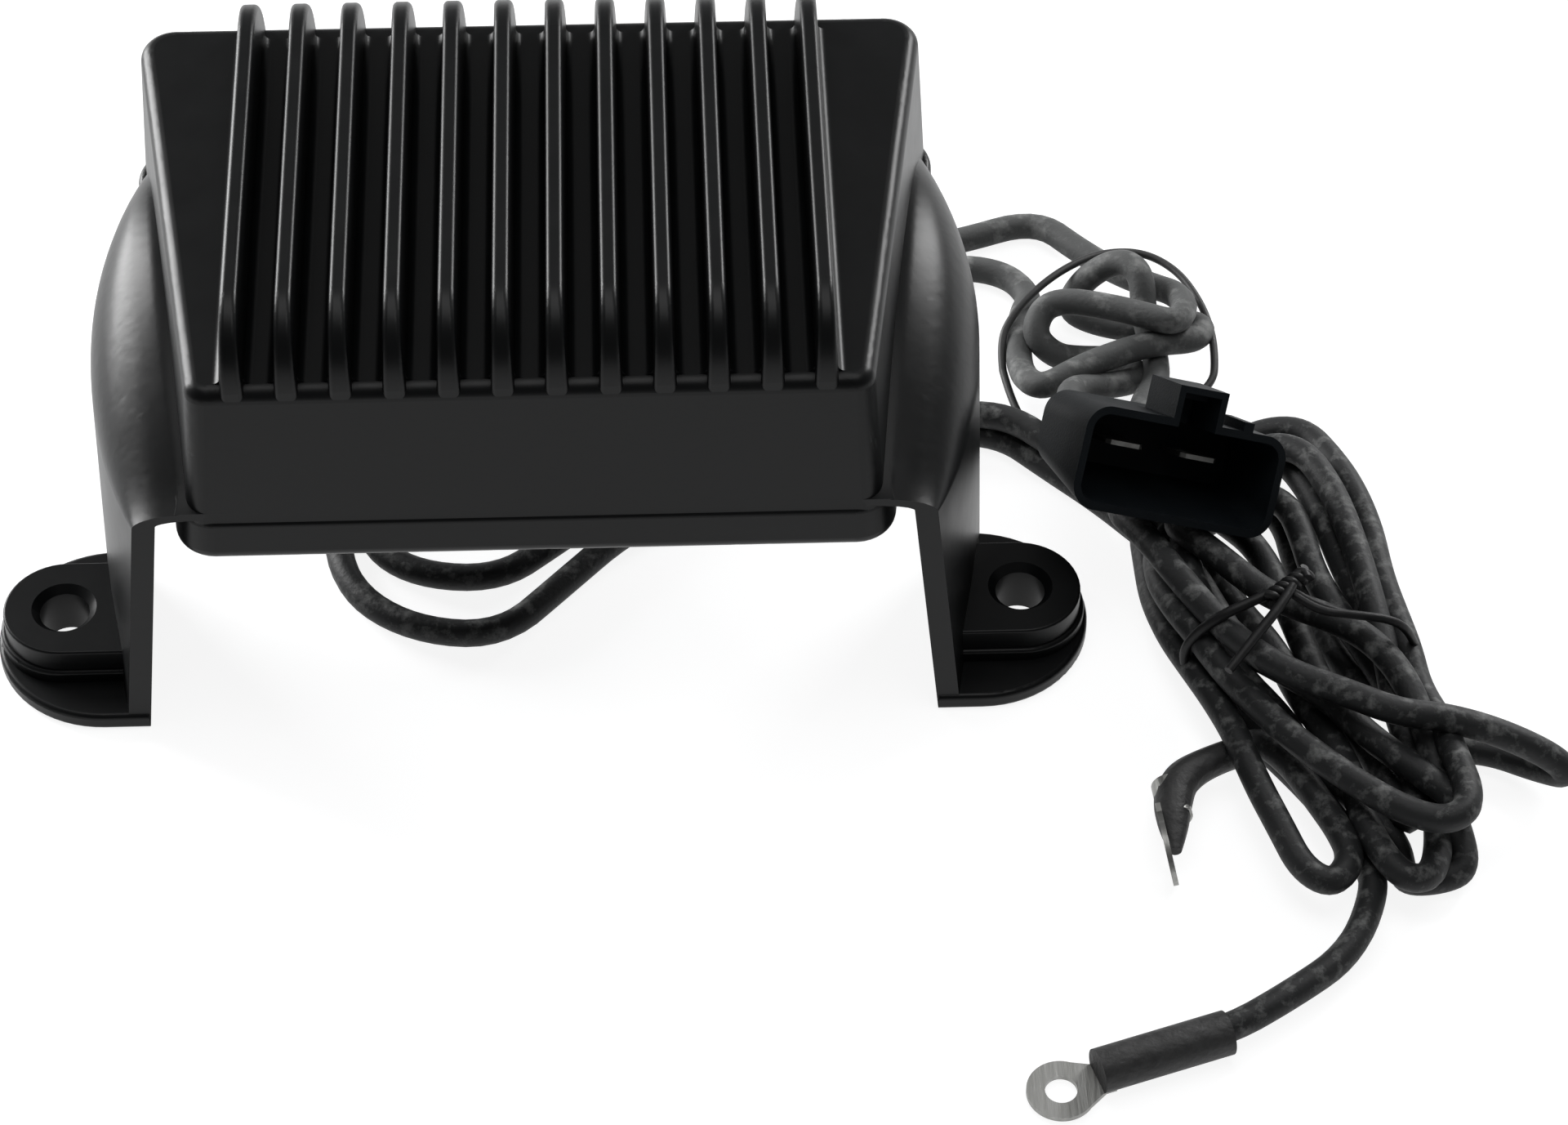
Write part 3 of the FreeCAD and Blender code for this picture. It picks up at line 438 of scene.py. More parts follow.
# The four leads' routes. The first points repeat the model's own; the turns of the coil and of
# the hank follow, each one round the bundle as it lies.
BATTERY_ROUTE = Route([
    (-28, 80, 65.6), (-28, 80, 30), (-31.5, 68, 9.5), (-41.5, 50, 2.7), (-38.5, 31.5, 2.7),
    (-26, 20.6, 2.7), (-8.5, 18.2, 2.7), (3.5, 31.5, 2.7), (16.5, 46, 2.7), (36, 57.5, 2.7),
    (58, 63.5, 2.7), (78, 70, 2.7), (91, 69.5, 2.7), (100, 60, 2.7), (110, 50, 2.7),
    (117, 38.5, 2.7), (124.5, 29, 2.7), (127.8, 18, 2.7), (131, 8, 3), (138.4, -3.2, 8),
    (144.8, -9.3, 8), (151.3, -19.6, 8), (156.8, -26.3, 8), (161.2, -31.4, 8), (165.5, -36, 7),
    (167.8, -35, 5), (168, -27, 4), (166, -17, 3), (163.8, -6, 3), (160.5, 5, 5), (156, 15, 8),
    (153.6, 27, 8), (152, 38.6, 8), (149.8, 48.5, 8), (146.5, 57.5, 7), (140.5, 60, 4),
    (133.5, 52.5, 2.7), (126, 43, 2.7), (119.5, 33, 5), (118.3, 22, 8), (120.2, 12, 11),
    (123.4, 4, 12.5), (127.6, -5.5, 12), (132.4, -14, 12), (138.4, -23.3, 12), (146.2, -32.6, 12),
    (154, -40.5, 12), (161, -45, 12), (166, -43.5, 11.5), (167, -37.5, 10.5), (165.8, -28.5, 8.5),
    (164.8, -19, 6.5), (162, -8, 5), (161.6, 2, 6), (160.8, 11, 6), (160, 22, 6), (160.4, 35.5, 6),
    (159, 47.2, 6), (156.6, 56, 6), (153, 64.5, 6), (145.5, 66, 5), (138, 62.5, 3), (130, 53, 2.7),
    (121, 43, 2.7), (121.5, 35, 3), (121.8, 26, 3), (122.4, 18.5, 3.5), (123.8, 10.5, 4),
    (126.6, 2, 4), (129.4, -6.4, 4), (132.2, -16, 4), (134.6, -28, 4), (137.8, -38, 3.5),
    (140.5, -47, 3), (145.5, -51, 3), (149.6, -45.3, 3), (148, -38.5, 3), (144, -30, 2.8),
    (140, -21.5, 2.7), (134.5, -14.5, 2.9), (129.5, -17.5, 5.5), (116.5, -24, 6.8),
    (116.3, -31.9, 6.8),
], (15, 3))
GROUND_ROUTE = Route([
    (-16, 80, 65.6), (-16, 80, 30), (-19.5, 68, 9.5), (-33, 57, 2.7), (-35, 44, 2.7),
    (-25.5, 34.8, 2.7), (-9, 33, 2.7), (2, 42.5, 2.7), (17, 56, 2.7), (38, 68, 2.7), (60, 71, 3.2),
    (80, 71, 6.9), (92.5, 69.5, 8), (102, 60, 8), (112, 50, 8), (122, 43, 2.7), (130.5, 32, 2.7),
    (133.3, 21, 2.7), (140, 9, 2.7), (143.5, -5, 2.7), (148, -15, 2.7), (151, -26, 2.7),
    (151.5, -35, 4), (153.5, -43, 5), (157.5, -50, 5), (162.5, -50.5, 5), (166, -44, 4),
    (168, -32, 3), (167.5, -18, 3), (164, -5, 4), (158.6, 6.5, 7), (153.2, 17.1, 8),
    (149.8, 26.5, 8), (148.5, 36, 8), (146.5, 45.5, 7), (139.5, 52, 4), (133, 47, 2.7),
    (126, 41, 5), (122, 36, 8), (127.4, 29.4, 9), (133.3, 22.1, 9), (137.6, 17, 9), (143, 13.2, 9),
    (150.2, 9.3, 9), (157.2, 3, 9), (162, -5.5, 8), (164.5, -15, 6), (166, -26, 4),
    (168.5, -36.5, 3), (168.5, -42.5, 3), (164, -44, 3), (158, -44.5, 3), (157, -42, 2.7),
    (157, -36, 2.7), (152, -26, 2.7), (142, -16, 2.7), (139.5, -7, 2.7), (130.5, 6, 3),
    (126, 17, 8), (124, 28, 8), (124, 38, 4), (129, 47, 2.7), (136.5, 56.5, 3), (143.5, 62, 6),
    (150.5, 57.5, 8), (154.4, 48.5, 8), (156.8, 38.5, 8), (158.6, 26, 8), (159.8, 14, 8),
    (161.5, 3, 6), (162, -9, 5), (163.4, -18, 5.5), (163.4, -26, 4.5), (161, -37, 3),
    (158, -23.5, 2.7), (153.5, -13, 2.7), (148, 0, 2.7), (145, 12.5, 4), (141.7, 24.5, 6),
    (138.5, 34, 6), (134.5, 42, 3), (127.5, 48.5, 2.7), (117.5, 44.5, 6), (110.5, 38, 11),
    (116.1, 27.7, 13), (120.7, 17.4, 13.5), (125.7, 7.2, 14), (131.2, -1.7, 14.5),
    (138.6, -8.9, 14.8), (149.1, -14.6, 15), (157.8, -19.6, 14.8), (167.2, -19.7, 13.3),
    (177.4, -21.8, 11.5), (187.6, -24, 7.5), (190.4, -25.5, 5), (185.2, -20.7, 2.7),
    (178.1, -16.1, 2.7), (171.9, -14.8, 2.7), (159.5, -4, 2.7), (152, 6, 2.7), (148.5, 18, 2.7),
    (146, 33, 2.7), (145, 45, 2.7), (140, 52, 2.7), (125.5, 43, 2.7), (121, 34, 2.7),
    (122, 23, 2.7), (125, 12, 2.7), (129, 0, 2.7), (134, -11, 2.7), (141.5, -22, 2.7),
    (147, -32, 2.7), (150.5, -42, 3.4), (152.2, -49, 4.4), (145.6, -64.5, 4.6), (133, -73.8, 4.6),
    (120, -81.5, 4.1), (100, -88, 4.1),
], (15, 6))
STATOR_A_ROUTE = Route([
    (15, 80, 65.6), (15, 80, 30), (17.5, 92, 10), (28, 108, 2.7), (47, 118, 2.7), (68, 121, 2.7),
    (86, 125, 2.7), (103, 131.5, 2.7), (111.5, 120, 4), (119, 112, 5), (125, 105, 8),
    (129, 99.5, 11), (130.2, 93, 13), (127.5, 87.5, 14), (121, 90.5, 14), (114, 94, 13.5),
    (106, 96.8, 13), (101.3, 96.5, 11.5), (99.2, 91.5, 9), (103.6, 88.6, 6), (109, 89, 5),
    (115.6, 90.3, 4), (119.5, 88, 4.5), (120, 83, 6), (114, 79.5, 8), (106.5, 75.5, 11),
    (104.2, 69, 13.4), (104.19, 60.69, 14.47), (105.91, 56.06, 17.87), (107.92, 50.65, 21.84),
], (9, 4))
STATOR_B_ROUTE = Route([
    (28, 80, 65.6), (28, 80, 30), (32, 91, 10), (45, 103, 2.7), (65, 110.5, 2.7), (84, 118, 2.7),
    (95.5, 115.5, 2.7), (100.5, 107, 3.5), (98.2, 101, 4.5), (97.1, 92, 5), (96.9, 84, 5.5),
    (98.2, 77.3, 7), (101.5, 73.5, 8), (108, 77, 8.5), (116, 81.2, 8.5), (124.5, 84.8, 8.5),
    (133, 86.5, 8), (135, 91.8, 7.5), (130, 95, 6.5), (122, 95.5, 4), (113, 99, 3),
    (107.5, 102.5, 4), (110.5, 106.3, 8), (115.6, 107, 12.5), (119.6, 105, 15), (122, 101, 14.5),
    (122, 96, 9), (124, 88, 5), (123.5, 80, 6), (120, 73, 7.2), (118.6, 67, 8),
    (119.07, 61.99, 8.73), (120.79, 57.36, 12.13), (122.8, 51.95, 16.1),
], (7, 4))


@dataclass(frozen=True)
class ConnectorPlace:
    """The connector's mouth and attitude, as in the model: x across, y back, z up.

    Attributes:
        mouth: Middle of the mouth.
        yaw: Turn about the vertical, in degrees.
        tilt: Turn about its own x, in degrees.
        roll: Turn about its own y, in degrees.
        half: Half its width and half its height.
        length: Length over which the underside tapers.
        rise: How far the underside rises along that length.
        depth: Its whole length, back from the mouth.
        clearance: Room kept below the underside.
        side_reach: How far beyond each side it still presses.
        front_reach: How far before the mouth it still presses.
        softness: Share of the way out that a lead moves in one round.
    """

    mouth: Triple = (121.8, 30.8, 31.0)
    yaw: float = 20.4
    tilt: float = -34.5
    roll: float = 25.8
    half: tuple[float, float] = (21.15, 10.0)
    length: float = 21.5
    rise: float = 5.0
    depth: float = 33.0
    clearance: float = 0.2
    side_reach: float = 1.5
    front_reach: float = 2.0
    softness: float = 0.6

    def turn(self) -> Matrix:
        """Gives the connector's attitude.

        Returns:
            The rotation from the connector's own axes.
        """
        return (
            Matrix.Rotation(math.radians(self.yaw), 3, "Z")
            @ Matrix.Rotation(math.radians(self.tilt), 3, "X")
            @ Matrix.Rotation(math.radians(self.roll), 3, "Y")
        )

    def pushes(self, spots: np.ndarray) -> np.ndarray:
        """Moves spots that lie in the connector's lower half down and out of it.

        Args:
            spots: Points in millimetres, one in each row.

        Returns:
            How far each of them moves.
        """
        turn = np.array(self.turn())
        own = (spots - np.array(self.mouth)) @ turn
        rise = np.clip(own[:, 1], 0, self.length) * self.rise / self.length
        ceiling = rise - self.half[1] - LEAD_RADIUS - self.clearance
        under = abs(own[:, 0]) < self.half[0] + self.side_reach
        under &= (own[:, 1] > -self.front_reach) & (own[:, 1] < self.depth)
        under &= (own[:, 2] > ceiling) & (own[:, 2] < 0)
        shift = np.zeros_like(spots)
        shift[under] = np.outer((ceiling - own[:, 2])[under], turn[:, 2]) * self.softness
        return shift


class Settling:
    """Lets loose leads settle: down on the floor, round each other and under the connector.

    Attributes:
        samples_a_span: Samples between two control points.
        rounds: Rounds of settling.
        renew_after: Rounds after which the pairs that may touch are found again.
        reach: How far apart, beyond touching, two samples may be and still form such a pair.
        own_skip: Thicknesses along one lead within which it can't touch itself.
        sink: How far a lead sinks in the first round, less in each one after it.
        sideways: Share of a move to the side that is allowed.
        pull: Strength with which the control points follow their samples.
        stiffness: Share of each move that is evened out with its neighbours.
        memory: Share of a move that is left after each round.
        crowding: Power of the number of touching samples that a move is divided by.
    """

    samples_a_span = 5
    rounds = 400
    renew_after = 10
    reach = 5
    own_skip = 4.0
    sink = 0.12
    sideways = 0.12
    pull = 2.0
    stiffness = 0.5
    memory = 0.998
    crowding = 0.7

    def __init__(self, routes: list[Route], connector: ConnectorPlace) -> None:
        """Takes the routes and the solid that lies over them.

        Args:
            routes: The leads' routes, as given.
            connector: The place of the connector that presses on the hank.
        """
        self.rest = [np.array(route.points, float) for route in routes]
        self.weights = [self._weights(len(points)) for points in self.rest]
        self.free = []
        for points, route in zip(self.rest, routes):
            mask = np.zeros((len(points), 3))
            start, end = route.held
            mask[start:len(points) - end] = (self.sideways, self.sideways, 1.0)
            self.free.append(mask)
        self.owner = np.concatenate([np.full(len(w), k) for k, w in enumerate(self.weights)])
        self.connector = connector

    def _weights(self, count: int) -> np.ndarray:
        """Weights of a clamped curve of degree two at even steps.

        Args:
            count: Number of control points.

        Returns:
            One row of weights for each sample along the curve.
        """
        spans = count - 2
        knots = np.concatenate([[0, 0], np.arange(spans + 1), [spans, spans]]).astype(float)
        table = np.zeros((spans * self.samples_a_span + 1, count))
        for row in range(len(table)):
            at = min(row / self.samples_a_span, spans - TINY)
            first = int(at)
            values = [1.0]
            for degree in (1, 2):
                grown = [0.0] * (degree + 1)
                for step in range(degree):
                    low = knots[first + 2 - degree + 1 + step]
                    high = knots[first + 3 + step]
                    share = values[step] / (high - low)
                    grown[step] += share * (high - at)
                    grown[step + 1] += share * (at - low)
                values = grown
            table[row, first:first + 3] = values
        return table

    def _neighbours(
        self, lines: list[np.ndarray], spots: np.ndarray
    ) -> tuple[np.ndarray, np.ndarray]:
        """Finds pairs of samples that may touch, leaving out those near each other on one lead.

        Args:
            lines: The samples of each lead.
            spots: The same samples, all in one list.

        Returns:
            The numbers of the first and of the second sample of each pair.
        """
        travel = []
        for line in lines:
            steps = np.linalg.norm(np.diff(line, axis=0), axis=1)
            travel.append(np.concatenate([[0], np.cumsum(steps)]))
        along = np.concatenate(travel)
        apart = np.linalg.norm(spots[:, None] - spots[None], axis=2)
        near = apart < 2 * LEAD_RADIUS + self.reach
        same = self.owner[:, None] == self.owner[None]
        own = same & (abs(along[:, None] - along[None]) < self.own_skip * 2 * LEAD_RADIUS)
        return np.nonzero(np.triu(near & ~own, 1))

    def run(self) -> list[np.ndarray]:
        """Settles the leads.

        Returns:
            The control points of each lead after settling, in millimetres.
        """
        moved = [np.zeros_like(points) for points in self.rest]
        first = second = np.zeros(0, int)
        for step in range(self.rounds):
            lines = [w @ (p + m) for w, p, m in zip(self.weights, self.rest, moved)]
            spots = np.concatenate(lines)
            if step % self.renew_after == 0:
                first, second = self._neighbours(lines, spots)
            shift = self._contacts(spots, first, second)
            below = LEAD_RADIUS - spots[:, 2]
            shift[:, 2] += np.where(below > 0, below, 0)
            shift += self.connector.pushes(spots + shift)
            at = 0
            for index, weights in enumerate(self.weights):
                part = shift[at:at + len(weights)]
                at += len(weights)
                free = self.free[index]
                follow = self.pull * free * (weights.T @ part) / weights.sum(0)[:, None]
                change = moved[index] + follow
                change[:, 2] -= self.sink * (1 - step / self.rounds) * free[:, 2]
                smooth = change.copy()
                smooth[1:-1] = (
                    (1 - self.stiffness) * change[1:-1]
                    + self.stiffness / 2 * (change[:-2] + change[2:])
                )
                moved[index] = np.where(free > 0, smooth, change) * self.memory
                height = self.rest[index][:, 2] + moved[index][:, 2]
                lift = np.where(free[:, 2] > 0, np.maximum(LEAD_RADIUS - height, 0), 0)
                moved[index][:, 2] += lift
        return [points + change for points, change in zip(self.rest, moved)]

    def _contacts(self, spots: np.ndarray, first: np.ndarray, second: np.ndarray) -> np.ndarray:
        """Moves the samples of leads that press into each other apart.

        Args:
            spots: All samples.
            first: Number of the first sample of each pair.
            second: Number of the second sample of each pair.

        Returns:
            How far each sample moves.
        """
        gap = spots[first] - spots[second]
        length = np.linalg.norm(gap, axis=1) + TINY
        deep = 2 * LEAD_RADIUS - length
        hit = deep > 0
        push = gap[hit] / length[hit, None] * deep[hit, None] / 2
        shift = np.zeros_like(spots)
        count = np.zeros(len(spots))
        np.add.at(shift, first[hit], push)
        np.add.at(shift, second[hit], -push)
        np.add.at(count, first[hit], 1)
        np.add.at(count, second[hit], 1)
        return shift / np.maximum(count, 1)[:, None] ** self.crowding


class Leads:
    """The four rubber leads, as curves of their real length."""

    def __init__(self, connector: ConnectorPlace) -> None:
        """Takes the connector's place, where two of the leads end."""
        self.connector = connector

    def build(self) -> None:
        routes = [BATTERY_ROUTE, GROUND_ROUTE, STATOR_A_ROUTE, STATOR_B_ROUTE]
        settled = Settling(routes, self.connector).run()
        plans = [
            (
                "battery_cord", ("battery_lead", "lead_hank", "battery_lead_end"), "fitting",
                ("battery_ring_terminal", "crumpled_sleeve"),
            ),
            (
                "ground_cord", ("ground_lead", "lead_hank", "ground_lead_end"), "fitting",
                ("ground_ring_terminal", "ground_shrink", "twist_tie"),
            ),
            (
                "stator_cord_a", ("stator_lead_a", "lead_coil", "stator_tail_a"), "connector",
                (
                    "connector_shell", "connector_lock", "seal_retainer", "wire_seal_a",
                    "blade_terminal_a",
                ),
            ),
            (
                "stator_cord_b", ("stator_lead_b", "lead_coil", "stator_tail_b"), "connector",
                ("wire_seal_b", "blade_terminal_b", "rubber_band"),
            ),
        ]
        for points, (name, nodes, end, pieces) in zip(settled, plans):
            surface = Surface.dusty_rubber if name.startswith("stator") else Surface.lead_rubber
            self._cord(name, surface, points, nodes)

    def _cord(
        self,
        name: str,
        surface: Surface,
        points: np.ndarray,
        nodes: tuple[str, ...],
    ) -> None:
        """Args:
            name: The piece's name.
            surface: Its finish.
            points: Control points in millimetres.
            nodes: The model's nodes that it stands for.
        """
        piece = draw_strand(name, points, LEAD_RADIUS, bevel_steps=6, curve_steps=6)
        WARDROBE.dress(piece, surface)
        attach(piece, "root")
        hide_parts(*nodes)


class Fasteners:
    """What holds the leads: the loose band, the twist tie and the crumpled sleeve at a ring.

    Attributes:
        band: Points of the band round the coil.
        tie_left: Points of the tie where it comes up on the hank's left side.
        tie_right: Points of the tie where it goes down on the right side.
        tie_second: Points of its second, thinner run to the right.
        tie_end: Points of its loose end, towards the front.
        tie_stub: Points of its short end, towards the back.
        tie_runs: Name, points, radius and any widths of each of those.
        knot: The two ends of the tie's twisted part.
        knot_steps: Points in each of the knot's two strands, after the first one.
        knot_steps_a_half_turn: Points in half a turn of the knot.
        knot_reach: Distance of each strand from the middle of the knot.
        knot_radius: Radius of each strand of the knot.
        band_radius: Radius of the band.
        sleeve_radius: Radius of the sleeve, before its widths.
        sleeve: Points of the sleeve.
        sleeve_widths: Share of the sleeve's radius at each of its points.
    """

    band = [
        (92.9, 85.8, 4), (92.6, 91.6, 6), (94.9, 96.8, 8), (100.4, 102.9, 10), (107.3, 109.4, 10),
        (115, 114.5, 9), (123.6, 115.6, 8), (130.3, 110, 8), (134.2, 100.7, 8), (135.7, 91.7, 8),
        (135.7, 84.8, 7), (134.9, 79.2, 6), (128.6, 73.8, 5), (117.4, 69.7, 4), (105.4, 66.7, 3),
        (97.5, 70, 2), (94.1, 77.9, 3), (92.9, 85.8, 4),
    ]
    tie_left = [
        (123, 0.3, 5.6), (121.1, 2, 8.6), (121.4, 2.4, 14.6), (126.5, 2.1, 21.6), (133, 4.1, 23.6),
        (139.1, 6.9, 24.1),
    ]
    tie_right = [
        (140, 6.6, 24.1), (144.4, 1, 24.1), (152.6, 0.6, 23.1), (159.6, 0.6, 21.6),
        (163.6, 1.1, 17.1), (165.7, 3, 9.6),
    ]
    tie_second = [(140.4, 6.6, 24.6), (143.8, 3.6, 24.1), (149, 1.4, 23.4), (155.8, 1, 21.6)]
    tie_end = [(140.9, 6.6, 25.2), (139.3, 3.2, 25.2), (134.3, -3.4, 24.6), (127.2, -12, 22.6)]
    tie_stub = [(137.9, 4.4, 23.6), (140.4, 7.5, 25.1), (143.5, 10.4, 25.6), (143.9, 8, 25.6)]
    tie_runs = (
        ("twist_tie", tie_left, 1.0),
        ("tie_right", tie_right, 0.85),
        ("tie_second", tie_second, 0.6),
        ("tie_end", tie_end, 1.0, (1.0, 1.0, 1.0, 0.9)),
        ("tie_stub", tie_stub, 0.9),
    )
    knot = ((136.4, 4.1, 24.2), (144.3, 10.2, 24.8))
    knot_steps = 18
    knot_steps_a_half_turn = 3
    knot_reach = 1.1
    knot_radius = 0.85
    band_radius = 0.8
    sleeve_radius = 2.95
    sleeve = [
        (128.6, -17.4, 5), (123, -20.8, 6.5), (117.6, -25.4, 7), (116, -30.8, 7),
        (115.7, -37, 7), (115.6, -41.8, 6.8),
    ]
    sleeve_widths = (1.0, 1.0, 1.25, 1.25, 0.95, 0.4)

    def build(self) -> None:
        """Makes the three pieces and hides the model's nodes that they stand in for."""
        band = self._strand("rubber_band", self.band, self.band_radius)
        self._declare(band, Surface.band_rubber, "band_rubber", "coil_band")
        tie = self._join([self._strand(*run) for run in self.tie_runs] + self._knot())
        self._declare(tie, Surface.tie_plastic, "tie_plastic", "hank_tie")
        sleeve = self._strand(
            "crumpled_sleeve", self.sleeve, self.sleeve_radius, self.sleeve_widths
        )
        self._declare(sleeve, Surface.shrink_sleeve, "shrink_sleeve", "battery_shrink")

    def _knot(self) -> list[bpy.types.Object]:
        """Makes the two strands that wind round each other where the tie is twisted.

        Returns:
            The two strands.
        """
        start, end = (Vector(point) for point in self.knot)
        way = end - start
        side = way.orthogonal().normalized()
        other = way.cross(side).normalized()
        strands = []
        for half in (0.0, math.pi):
            turns = []
            for step in range(self.knot_steps + 1):
                angle = half + step * math.pi / self.knot_steps_a_half_turn
                reach = side * math.cos(angle) + other * math.sin(angle)
                turns.append(tuple(start + way * step / self.knot_steps + reach * self.knot_reach))
            strands.append(self._strand("tie_knot", turns, self.knot_radius))
        return strands

    @staticmethod
    def _strand(
        name: str,
        points: list[Triple],
        radius: float,
        widths: tuple[float, ...] = (),
    ) -> bpy.types.Object:
        """Draws a round strand and turns it into a mesh.

        Args:
            name: The object's name.
            points: Control points in millimetres.
            radius: The strand's radius in millimetres.
            widths: Share of the radius at each point, one everywhere where none are given.

        Returns:
            The new mesh object.
        """
        piece = draw_strand(name, points, radius, bevel_steps=4, curve_steps=8, widths=widths)
        deselect_all()
        piece.select_set(True)
        bpy.context.view_layer.objects.active = piece
        bpy.ops.object.convert(target="MESH")
        bpy.ops.object.shade_smooth()
        return bpy.context.view_layer.objects.active

    @staticmethod
    def _join(parts: list[bpy.types.Object]) -> bpy.types.Object:
        """Joins mesh objects into the first of them.

        Args:
            parts: The objects.

        Returns:
            The joined object.
        """
        deselect_all()
        for part in parts:
            part.select_set(True)
        bpy.context.view_layer.objects.active = parts[0]
        bpy.ops.object.join()
        return bpy.context.view_layer.objects.active

    @staticmethod
    def _declare(piece: bpy.types.Object, surface: Surface, slot: str, node: str) -> None:
        """Dresses a piece, hangs it on the root body and hides the node of the model that it stands
        in for.

        Args:
            piece: The piece.
            surface: Its finish.
            slot: Not used.
            node: The model's node.
        """
        deselect_all()
        WARDROBE.dress(piece, surface)
        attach(piece, "root")
        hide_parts(node)


@dataclass(frozen=True)
class Lamp:
    """One soft box: lengths in millimetres, power in watts.

    Attributes:
        name: The lamp's name.
        place: Its middle.
        aim: The point that it faces.
        size: Its width and height.
        power: Its power.
    """

    name: str
    place: Triple
    aim: Triple
    size: tuple[float, float]
    power: float

    def build(self) -> None:
        """Makes the lamp."""
        data = bpy.data.lights.new(self.name, "AREA")
        data.shape = "RECTANGLE"
        data.size = self.size[0] * MM
        data.size_y = self.size[1] * MM
        data.energy = self.power
        lamp = bpy.data.objects.new(self.name, data)
        bpy.context.collection.objects.link(lamp)
        towards = spot(*self.aim) - spot(*self.place)
        turn = towards.to_track_quat("-Z", "Y").to_matrix().to_4x4()
        lamp.matrix_world = Matrix.Translation(spot(*self.place)) @ turn


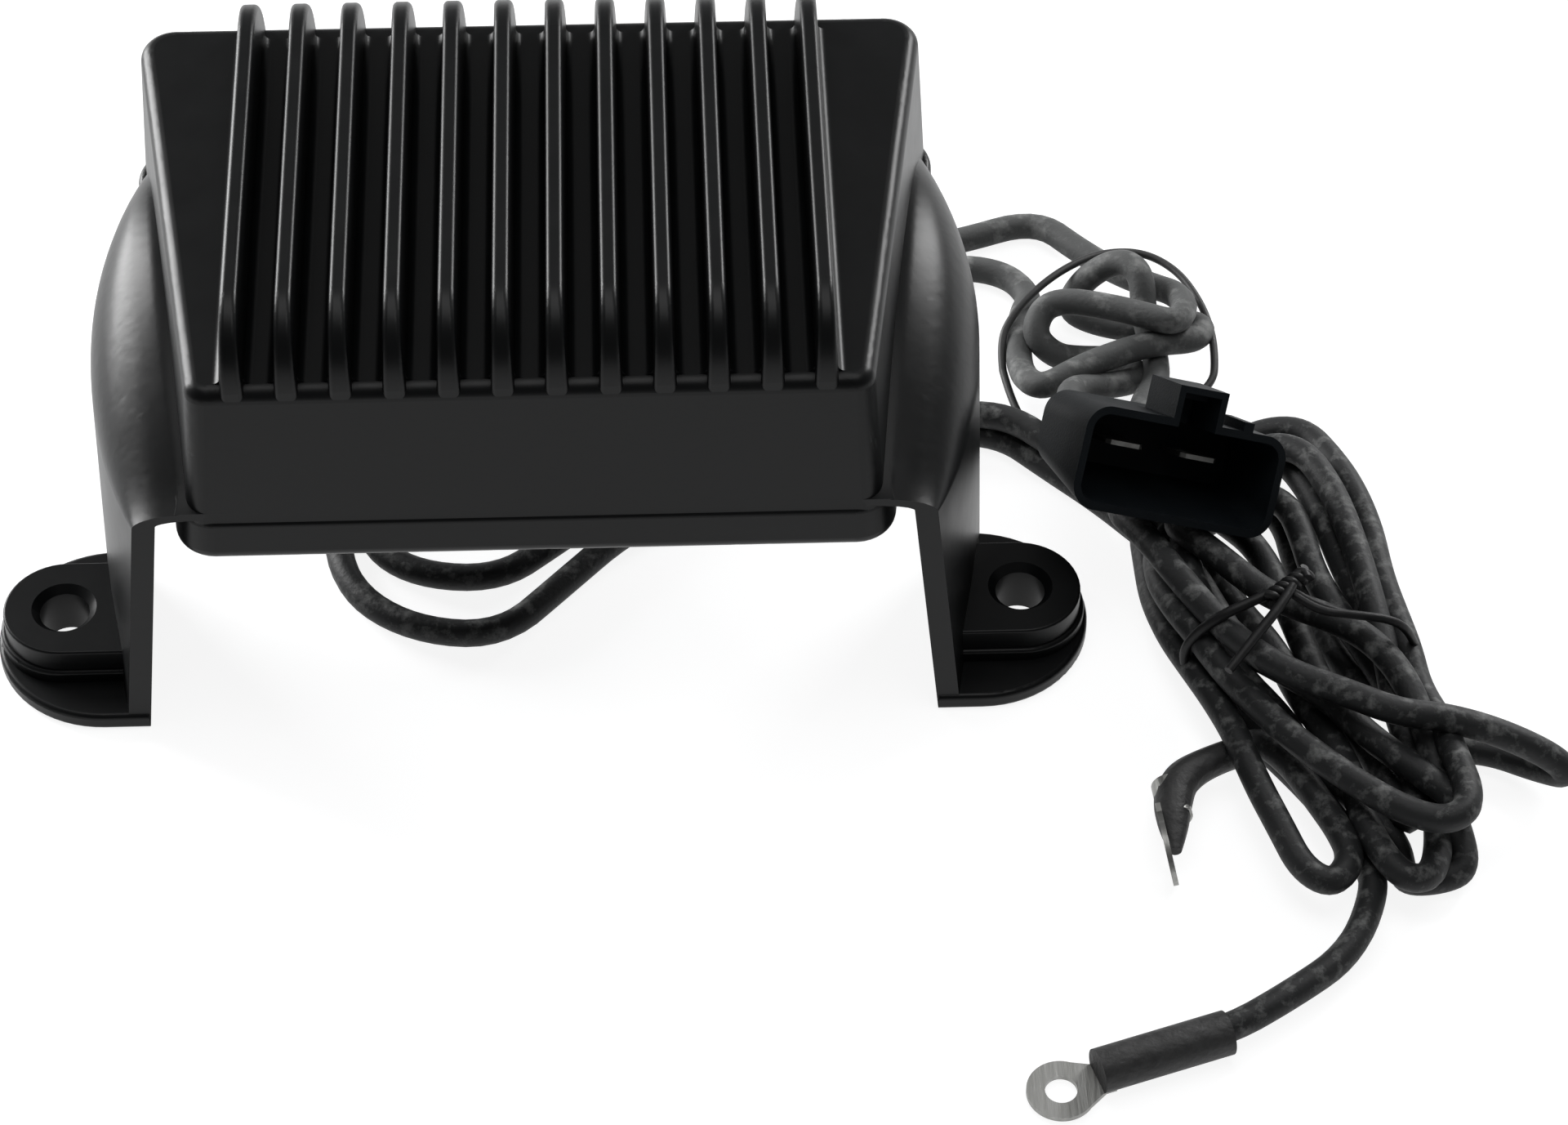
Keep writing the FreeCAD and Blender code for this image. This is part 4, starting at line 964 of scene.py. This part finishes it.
class Studio:
    """The camera at the photograph's angle, soft lamps and a pale floor.

    Attributes:
        camera_point: The camera's place, in millimetres.
        yaw: Its heading, in degrees to the left of straight back.
        pitch: How far it looks down, in degrees.
        roll: Its lean, in degrees.
        lens: Focal length, in millimetres.
        sensor: Width of the sensor, in millimetres.
        view_end: How far it sees, in metres.
        lamps: A broad soft box above, and one at each side behind for the shoulders.
        floor_size: Side of the floor, in metres.
        floor_height: Its height, in metres: just below the feet.
        floor_light: Its colour for the light that it gives back to the object.
        floor_shade: Its colour to the camera, on which the shadow falls.
        floor_glow: What lifts that colour to white where no shadow falls.
        world_axis: Direction of the sky that is darkest.
        world_span: Cosines to that direction over which the light fades.
        world_light: Strength of the light behind the object, and on the camera's side.
    """

    camera_point = (20.2, -557.7, 654.2)
    yaw = -2.55
    pitch = 47.64
    roll = 0.59
    lens = 103.69
    sensor = 36.0
    view_end = 20.0
    lamps = (
        Lamp("lamp above", (60.0, 60.0, 1000.0), (40.0, 40.0, 40.0), (900.0, 500.0), 3.4),
        Lamp("lamp left", (-820.0, 700.0, 340.0), (-80.0, 40.0, 60.0), (460.0, 700.0), 18.0),
        Lamp("lamp right", (740.0, 780.0, 520.0), (80.0, 40.0, 60.0), (300.0, 420.0), 8.0),
    )
    floor_size = 6.0
    floor_height = -0.0002
    floor_light = "#d8d9da"
    floor_shade = "#929394"
    floor_glow = 0.88
    world_axis = (0.0, -0.67, 0.74)
    world_span = (0.1, 0.85)
    world_light = (0.35, 0.16)

    def build(self) -> None:
        """Makes the camera, the lamps, the floor and the world."""
        self._camera()
        for lamp in self.lamps:
            lamp.build()
        self._floor()
        self._world()

    def _camera(self) -> None:
        """Places the camera by its heading, dip and roll."""
        data = bpy.data.cameras.new("camera")
        data.lens = self.lens
        data.sensor_width = self.sensor
        data.sensor_fit = "HORIZONTAL"
        data.clip_end = self.view_end
        camera = bpy.data.objects.new("camera", data)
        bpy.context.collection.objects.link(camera)
        heading = Matrix.Rotation(math.radians(self.yaw), 4, "Z")
        dip = Matrix.Rotation(math.radians(90 - self.pitch), 4, "X")
        lean = Matrix.Rotation(math.radians(self.roll), 4, "Z")
        camera.matrix_world = Matrix.Translation(spot(*self.camera_point)) @ heading @ dip @ lean
        bpy.context.scene.camera = camera

    def _floor(self) -> None:
        """A wide floor: white to the camera and in reflections, with the shadow kept."""
        bpy.ops.mesh.primitive_plane_add(
            size=self.floor_size, location=(0.0, 0.0, self.floor_height)
        )
        floor = bpy.context.active_object
        floor.name = "floor"
        material = bpy.data.materials.new("floor")
        material.use_nodes = True
        material.node_tree.nodes.clear()
        rays = add_node(material, "ShaderNodeLightPath").outputs
        seen = rays["Is Camera Ray"]
        for kind in ("Is Glossy Ray", "Is Transmission Ray"):
            seen = add_node(
                material, "ShaderNodeMath", {"operation": "MAXIMUM"}, {0: seen, 1: rays[kind]}
            ).outputs[0]
        plain, shade = (
            add_node(material, "ShaderNodeBsdfDiffuse", {"Color": linear(colour)})
            for colour in (self.floor_light, self.floor_shade)
        )
        glow = add_node(material, "ShaderNodeEmission", {"Strength": self.floor_glow})
        white = add_node(
            material,
            "ShaderNodeAddShader",
            links={0: shade.outputs["BSDF"], 1: glow.outputs["Emission"]},
        )
        choose = add_node(
            material,
            "ShaderNodeMixShader",
            links={0: seen, 1: plain.outputs["BSDF"], 2: white.outputs["Shader"]},
        )
        add_node(material, "ShaderNodeOutputMaterial", links={"Surface": choose.outputs["Shader"]})
        floor.data.materials.append(material)

    def _world(self) -> None:
        """White to the camera; for the light, pale behind and dark on the camera's side."""
        world = bpy.data.worlds.new("studio")
        bpy.context.scene.world = world
        world.use_nodes = True
        world.node_tree.nodes.clear()
        direction = add_node(world, "ShaderNodeTexCoord").outputs["Generated"]
        facing = add_node(
            world,
            "ShaderNodeVectorMath",
            {"operation": "DOT_PRODUCT", 1: self.world_axis},
            {0: direction},
        )
        fade = add_node(
            world,
            "ShaderNodeMapRange",
            {
                "From Min": self.world_span[0],
                "From Max": self.world_span[1],
                "To Min": self.world_light[0],
                "To Max": self.world_light[1],
            },
            {"Value": facing.outputs["Value"]},
        )
        rays = add_node(world, "ShaderNodeLightPath").outputs
        strength = add_node(
            world,
            "ShaderNodeMapRange",
            {"To Max": 1.0},
            {"Value": rays["Is Camera Ray"], "To Min": fade.outputs["Result"]},
        )
        back = add_node(
            world, "ShaderNodeBackground", links={"Strength": strength.outputs["Result"]}
        )
        add_node(world, "ShaderNodeOutputWorld", links={"Surface": back.outputs["Background"]})


def deselect_all() -> None:
    """Leaves nothing selected or active."""
    for piece in bpy.data.objects:
        piece.select_set(False)
    bpy.context.view_layer.objects.active = None


def main() -> None:
    """Loads the frame, dresses it, and makes the fasteners, the leads and the studio."""
    logging.basicConfig(level=logging.INFO)
    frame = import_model()
    deselect_all()
    bpy.context.scene.view_settings.view_transform = "Standard"
    dress_frame(frame)
    connector = ConnectorPlace()
    Fasteners().build()
    Leads(connector).build()
    Studio().build()


if __name__ == "__main__":
    main()
